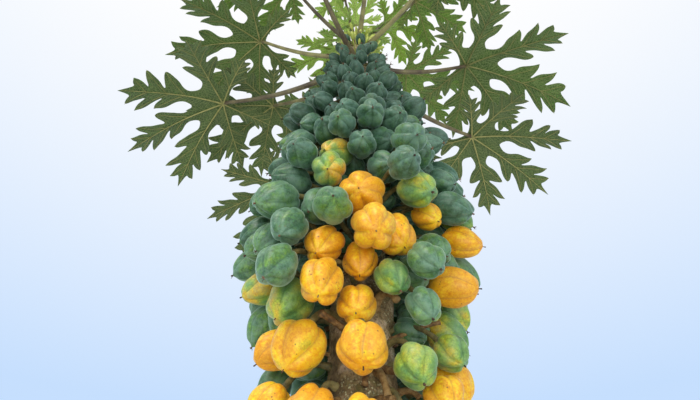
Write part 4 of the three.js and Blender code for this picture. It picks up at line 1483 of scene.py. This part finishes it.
# Papaya leaf from beneath: matt, quilted between pale veins, so no part of it looks flat.
def leafSkin(name, base, light, vein, roughness):
    material, tree = newMaterial(
        name,
        Roughness=roughness,
        IOR=1.42,
        Subsurface_Weight=0.1,
        Subsurface_Radius=(0.5, 1.0, 0.25),
        Subsurface_Scale=0.004,
        Sheen_Weight=0.1,
        Sheen_Tint="#dfe8d8",
    )
    place = addNode(tree, "TexCoord", out="Object")
    run, aside, tone = (
        addNode(tree, "Attribute", attribute_name=fact, out="Fac") for fact in ("ribRun", "ribAside", "tone")
    )
    # Side veins leave the ribs every 11 mm, sloping towards the tip and winding a little.
    flutter = addNode(tree, "TexNoise", {"Vector": place, "Scale": 45.0, "Detail": 2.0})
    aside = addNode(tree, "Math", {0: aside}, operation="ABSOLUTE")
    sloped = addNode(tree, "Math", {0: aside, 1: -0.9, 2: run}, operation="MULTIPLY_ADD")
    sloped = addNode(tree, "Math", {0: flutter, 1: 0.009, 2: sloped}, operation="MULTIPLY_ADD")
    wave = addNode(tree, "Math", {0: sloped, 1: np.pi / 0.011}, operation="MULTIPLY")
    wave = addNode(tree, "Math", {0: wave}, operation="SINE")
    wave = addNode(tree, "Math", {0: wave}, operation="ABSOLUTE")
    sideVein = addNode(tree, "MapRange", {"Value": wave, "From Min": 0.34, "From Max": 0.06})
    # The net between them has meshes of 6 mm, drawn twice as coarse as the real ones so that they show.
    net = addNode(tree, "TexVoronoi", {"Vector": place, "Scale": 165.0}, feature="DISTANCE_TO_EDGE")
    net = addNode(tree, "MapRange", {"Value": net, "From Min": 0.17, "From Max": 0.03})
    # Paler blotches of about 60 mm.
    blotch = addNode(tree, "TexNoise", {"Vector": place, "Scale": 16.0, "Detail": 4.0})
    blotch = addNode(tree, "MapRange", {"Value": blotch, "From Min": 0.36, "From Max": 0.64})
    own = addNode(tree, "Math", {0: tone, 1: 0.5, 2: blotch}, operation="MULTIPLY_ADD")
    own = addNode(tree, "Math", {0: own, 1: 0.7}, operation="MULTIPLY", use_clamp=True)
    netted = addNode(tree, "Math", {0: net, 1: 0.48}, operation="MULTIPLY")
    veined = addNode(tree, "Math", {0: sideVein, 1: 0.78}, operation="MULTIPLY")
    for share, tint in ((own, light), (netted, vein), (veined, vein)):
        base = addNode(
            tree, "Mix", {mixShare: share, mixFirst: base, mixSecond: tint}, mixResult, data_type="RGBA",
        )
    raised = addNode(tree, "Math", {0: net, 1: 0.35, 2: sideVein}, operation="MULTIPLY_ADD")
    bump = addNode(tree, "Bump", {"Height": raised, "Strength": 0.7, "Distance": 0.0016})
    return finished(material, base, bump)


# Material, ground, blotches, veins and roughness.
leafLooks = {
    "old_leaf_blades": ("papaya leaf, old and dusty", "#33491f", "#4b5f30", "#7b8750", 0.6),
    "leaf_blades": ("papaya leaf, full grown", "#385222", "#526c2e", "#87955a", 0.56),
    "upper_leaf_blades": ("papaya leaf, near the top", "#4a7026", "#658a34", "#a0b05c", 0.52),
    "young_leaf_blades": ("papaya leaf, young", "#6f9a28", "#90b43a", "#c3cf74", 0.48),
}


# Fibrous stems and stalks: blotched and dulled by weather, with a grain of about 3 mm, which is coarser
# than the real fibres so that it shows.
def stalkSkin(name, stops, roughness, grain, blotchSize):
    material, tree = newMaterial(name, Roughness=roughness, IOR=1.45)
    place = addNode(tree, "TexCoord", out="Object")
    tone = addNode(tree, "Attribute", attribute_name="tone", out="Fac")
    blotch = addNode(tree, "TexNoise", {"Vector": place, "Scale": 1 / blotchSize, "Detail": 4.0})
    fine = addNode(tree, "TexNoise", {"Vector": place, "Scale": 300.0, "Detail": 4.0})
    shade = addNode(tree, "Math", {0: tone, 1: 0.35, 2: blotch}, operation="MULTIPLY_ADD")
    shade = addNode(tree, "Math", {0: fine, 1: 0.4, 2: shade}, operation="MULTIPLY_ADD")
    shade = addNode(tree, "Math", {0: shade, 1: (0.35 + 0.4) / 2}, operation="SUBTRACT")
    base = addNode(tree, "ValToRGB", {"Fac": shade}, stops=stops, out="Color")
    bump = addNode(tree, "Bump", {"Height": fine, "Strength": grain, "Distance": 0.001})
    return finished(material, base, bump)


# Material, colours, roughness, grain and the size of the blotches in metres.
stalkLooks = {
    "leaf_ribs": (
        "leaf rib, dull yellow green", [(0.2, "#6c7040"), (0.5, "#87864c"), (0.8, "#a19c60")],
        0.5, 0.2, 0.02,
    ),
    "leaf_stalks": (
        "leaf stalk, olive brown", [(0.25, "#4c4030"), (0.5, "#6d6446"), (0.75, "#8f8a58")],
        0.5, 0.35, 0.03,
    ),
    "fruit_stalks": (
        "fruit stalk, corky brown", [(0.25, "#4d4a2b"), (0.5, "#766c3f"), (0.75, "#978b58")],
        0.62, 0.8, 0.012,
    ),
    "old_stalk_stubs": (
        "old fruit stalk, dried", [(0.25, "#4b3520"), (0.5, "#7d5f36"), (0.75, "#a38553")],
        0.74, 1.0, 0.008,
    ),
    "dried_flowers": (
        "dried flower, brown", [(0.25, "#2a1c12"), (0.5, "#4f3827"), (0.75, "#7a5c43")],
        0.8, 0.5, 0.006,
    ),
    "flower_buds": (
        "flower bud, pale green", [(0.2, "#8ea43f"), (0.5, "#b5bf58"), (0.8, "#d3d483")],
        0.5, 0.2, 0.012,
    ),
}


# Papaya bark: thin, corky and olive brown, with moss and lichen in patches and pale leaf scars.
def barkSkin():
    material, tree = newMaterial("papaya bark, corky with lichen", Roughness=0.86, IOR=1.4)
    place = addNode(tree, "TexCoord", out="Object")
    scar, crevice = (
        addNode(tree, "Attribute", attribute_name=fact, out="Fac") for fact in ("scar", "crevice")
    )
    # Dark and pale areas of about 90 mm, with patches of about 40 mm in them.
    area = addNode(tree, "TexNoise", {"Vector": place, "Scale": 11.0, "Detail": 2.0})
    patch = addNode(tree, "TexNoise", {"Vector": place, "Scale": 24.0, "Detail": 6.0, "Roughness": 0.65})
    patch = addNode(tree, "Math", {0: area, 1: 0.4, 2: patch}, operation="MULTIPLY_ADD")
    patch = addNode(tree, "Math", {0: patch, 1: 0.2}, operation="SUBTRACT")
    base = addNode(
        tree, "ValToRGB", {"Fac": patch}, out="Color",
        stops=[(0.34, "#6d5b3c"), (0.45, "#937d55"), (0.56, "#b79e76"), (0.66, "#dcc4a2")],
    )
    # Moss in patches of about 30 mm.
    moss = addNode(tree, "TexNoise", {"Vector": place, "Scale": 30.0, "Detail": 6.0, "Roughness": 0.75})
    moss = addNode(tree, "MapRange", {"Value": moss, "From Min": 0.5, "From Max": 0.62, "To Max": 0.5})
    scarred = addNode(tree, "Math", {0: scar, 1: 0.85}, operation="MULTIPLY")
    # Lichen in crowded dots of about 3 mm, in patches of about 60 mm.
    spots = addNode(tree, "TexVoronoi", {"Vector": place, "Scale": 210.0}, "Distance", feature="F1")
    spots = addNode(tree, "MapRange", {"Value": spots, "From Min": 0.42, "From Max": 0.28})
    few = addNode(tree, "TexNoise", {"Vector": place, "Scale": 17.0, "Detail": 3.0})
    few = addNode(tree, "MapRange", {"Value": few, "From Min": 0.51, "From Max": 0.58, "To Max": 0.9})
    spots = addNode(tree, "Math", {0: spots, 1: few}, operation="MULTIPLY")
    # Painted shade in the bark's hollows, mixed in below as #443626.
    sunk = addNode(tree, "Math", {0: crevice, 1: 0.75}, operation="MULTIPLY")
    # Corky grain of about 5 mm, dark in its hollows, with grit of about 4 mm, both drawn coarse to show.
    fine = addNode(tree, "TexNoise", {"Vector": place, "Scale": 210.0, "Detail": 5.0, "Roughness": 0.7})
    grit = addNode(tree, "TexVoronoi", {"Vector": place, "Scale": 230.0}, "Distance", feature="F1")
    dark = addNode(tree, "MapRange", {"Value": fine, "From Min": 0.5, "From Max": 0.6, "To Max": 0.6})
    for share, tint in (
        (moss, "#83864c"), (scarred, "#e2c7aa"), (spots, "#e4dfae"), (sunk, "#443626"), (dark, "#4a3d29"),
    ):
        base = addNode(
            tree, "Mix", {mixShare: share, mixFirst: base, mixSecond: tint}, mixResult, data_type="RGBA",
        )
    height = addNode(tree, "Math", {0: grit, 1: 0.5, 2: fine}, operation="MULTIPLY_ADD")
    height = addNode(tree, "Math", {0: spots, 1: 0.4, 2: height}, operation="MULTIPLY_ADD")
    bump = addNode(tree, "Bump", {"Height": height, "Strength": 0.9, "Distance": 0.004})
    return finished(material, base, bump)


# Pieces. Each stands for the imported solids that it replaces.
nodeNames = sorted(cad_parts)
bunchNodes = [name for name in nodeNames if name.startswith("fruit_bunch")]
leafNodes = [name for name in nodeNames if name.startswith("leaf_")]

stemMesh = Gathered()
points, faces, facts = makeStemMesh()
stemMesh.add(points, faces, **facts)
makePiece("stem_bark", stemMesh, barkSkin(), ["stem"])
makePiece("old_stalk_stubs", oldStubs, stalkSkin(*stalkLooks["old_stalk_stubs"]))
for name, gathered in {**gatheredFruit, "inner_green_fruit": innerFruit}.items():
    nodes = bunchNodes if name == "green_fruit" else ()
    makePiece(name, gathered, waxySkin(fruitLooks[name]), nodes)
makePiece("fruit_stalks", fruitStalks, stalkSkin(*stalkLooks["fruit_stalks"]))
makePiece("dried_flowers", driedFlowers, stalkSkin(*stalkLooks["dried_flowers"]))
for (name, low, high), gathered in zip(leafKinds, gatheredBlades.values()):
    makePiece(name, gathered, leafSkin(*leafLooks[name]), leafNodes[low:high], sharpAt=50)
makePiece("leaf_ribs", leafRibs, stalkSkin(*stalkLooks["leaf_ribs"]))
makePiece("leaf_stalks", leafStalks, stalkSkin(*stalkLooks["leaf_stalks"]))
makePiece("flower_buds", flowerBuds, stalkSkin(*stalkLooks["flower_buds"]))

# Floor, sky and light: a pale floor under a bright, even sky. Sizes and places here are metres.
studio = {
    "floor": "#d9d8d2",
    "floorSize": 260,
    "floorHeight": -0.002,
    "skyLow": "#c6dffe",
    "skyHigh": "#ffffff",
    "skyFrom": 0.36,  # where the sky's low tint ends, from level, 0, to straight up, 1
    "skyTo": 0.86,  # and where its high tint begins
    "skyStrength": 1.0,
}
lights = {
    "sun": {"energy": 1.6, "angle": 14, "tint": "#fff8ea", "place": (-1.6, -2.6, 5.5), "target": (0, 0, 2.2)},
    "fill": {"energy": 1.5, "angle": 45, "tint": "#ffffff", "place": (0.5, -5, 0.2), "target": (0, 0, 1.9)},
}
floorMesh = bpy.data.meshes.new("floor")
half = studio["floorSize"] / 2
corners = [(x * half, y * half, studio["floorHeight"]) for x, y in ((-1, -1), (1, -1), (1, 1), (-1, 1))]
floorMesh.from_pydata(corners, [], [(0, 1, 2, 3)])
floorMesh.materials.append(newMaterial("matt floor, pale", Roughness=0.9, Base_Color=studio["floor"])[0])
floor = bpy.data.objects.new("floor", floorMesh)
floor.visible_shadow = False  # the fill light shines up through it
bpy.context.scene.collection.objects.link(floor)

world = bpy.data.worlds.new("sky")
bpy.context.scene.world = world
world.use_nodes = True
sky = world.node_tree
rising = addNode(sky, "TexCoord", out="Generated")
rising = addNode(sky, "SeparateXYZ", {0: rising}, out="Z")
rising = addNode(
    sky, "MapRange", {"Value": rising, "From Min": studio["skyFrom"], "From Max": studio["skyTo"]},
)
rising = addNode(
    sky, "Mix", {mixShare: rising, mixFirst: studio["skyLow"], mixSecond: studio["skyHigh"]}, mixResult,
    data_type="RGBA",
)
sky.links.new(rising, sky.nodes["Background"].inputs["Color"])
sky.nodes["Background"].inputs["Strength"].default_value = studio["skyStrength"]

for name, facts in lights.items():
    light = bpy.data.lights.new(name, "SUN")
    light.energy, light.angle = facts["energy"], np.radians(facts["angle"])
    light.color = colour(facts["tint"])[:3]
    lamp = bpy.data.objects.new(name, light)
    lamp.location = facts["place"]
    way = Vector(facts["target"]) - lamp.location
    lamp.rotation_euler = way.to_track_quat("-Z", "Y").to_euler()
    bpy.context.scene.collection.objects.link(lamp)

# The camera stands close in front of the stem and looks up at the crown.
view = {"place": (0, -0.90, 1.50), "lookUp": 42, "lens": 28.8, "sensor": 36}
camera = bpy.data.cameras.new("camera")
camera.lens = view["lens"]
camera.sensor_width = view["sensor"]
eye = bpy.data.objects.new("camera", camera)
eye.location = view["place"]
eye.rotation_euler = (np.radians(90 + view["lookUp"]), 0, 0)
bpy.context.scene.collection.objects.link(eye)
bpy.context.scene.camera = eye
bpy.context.scene.view_settings.view_transform = "Standard"
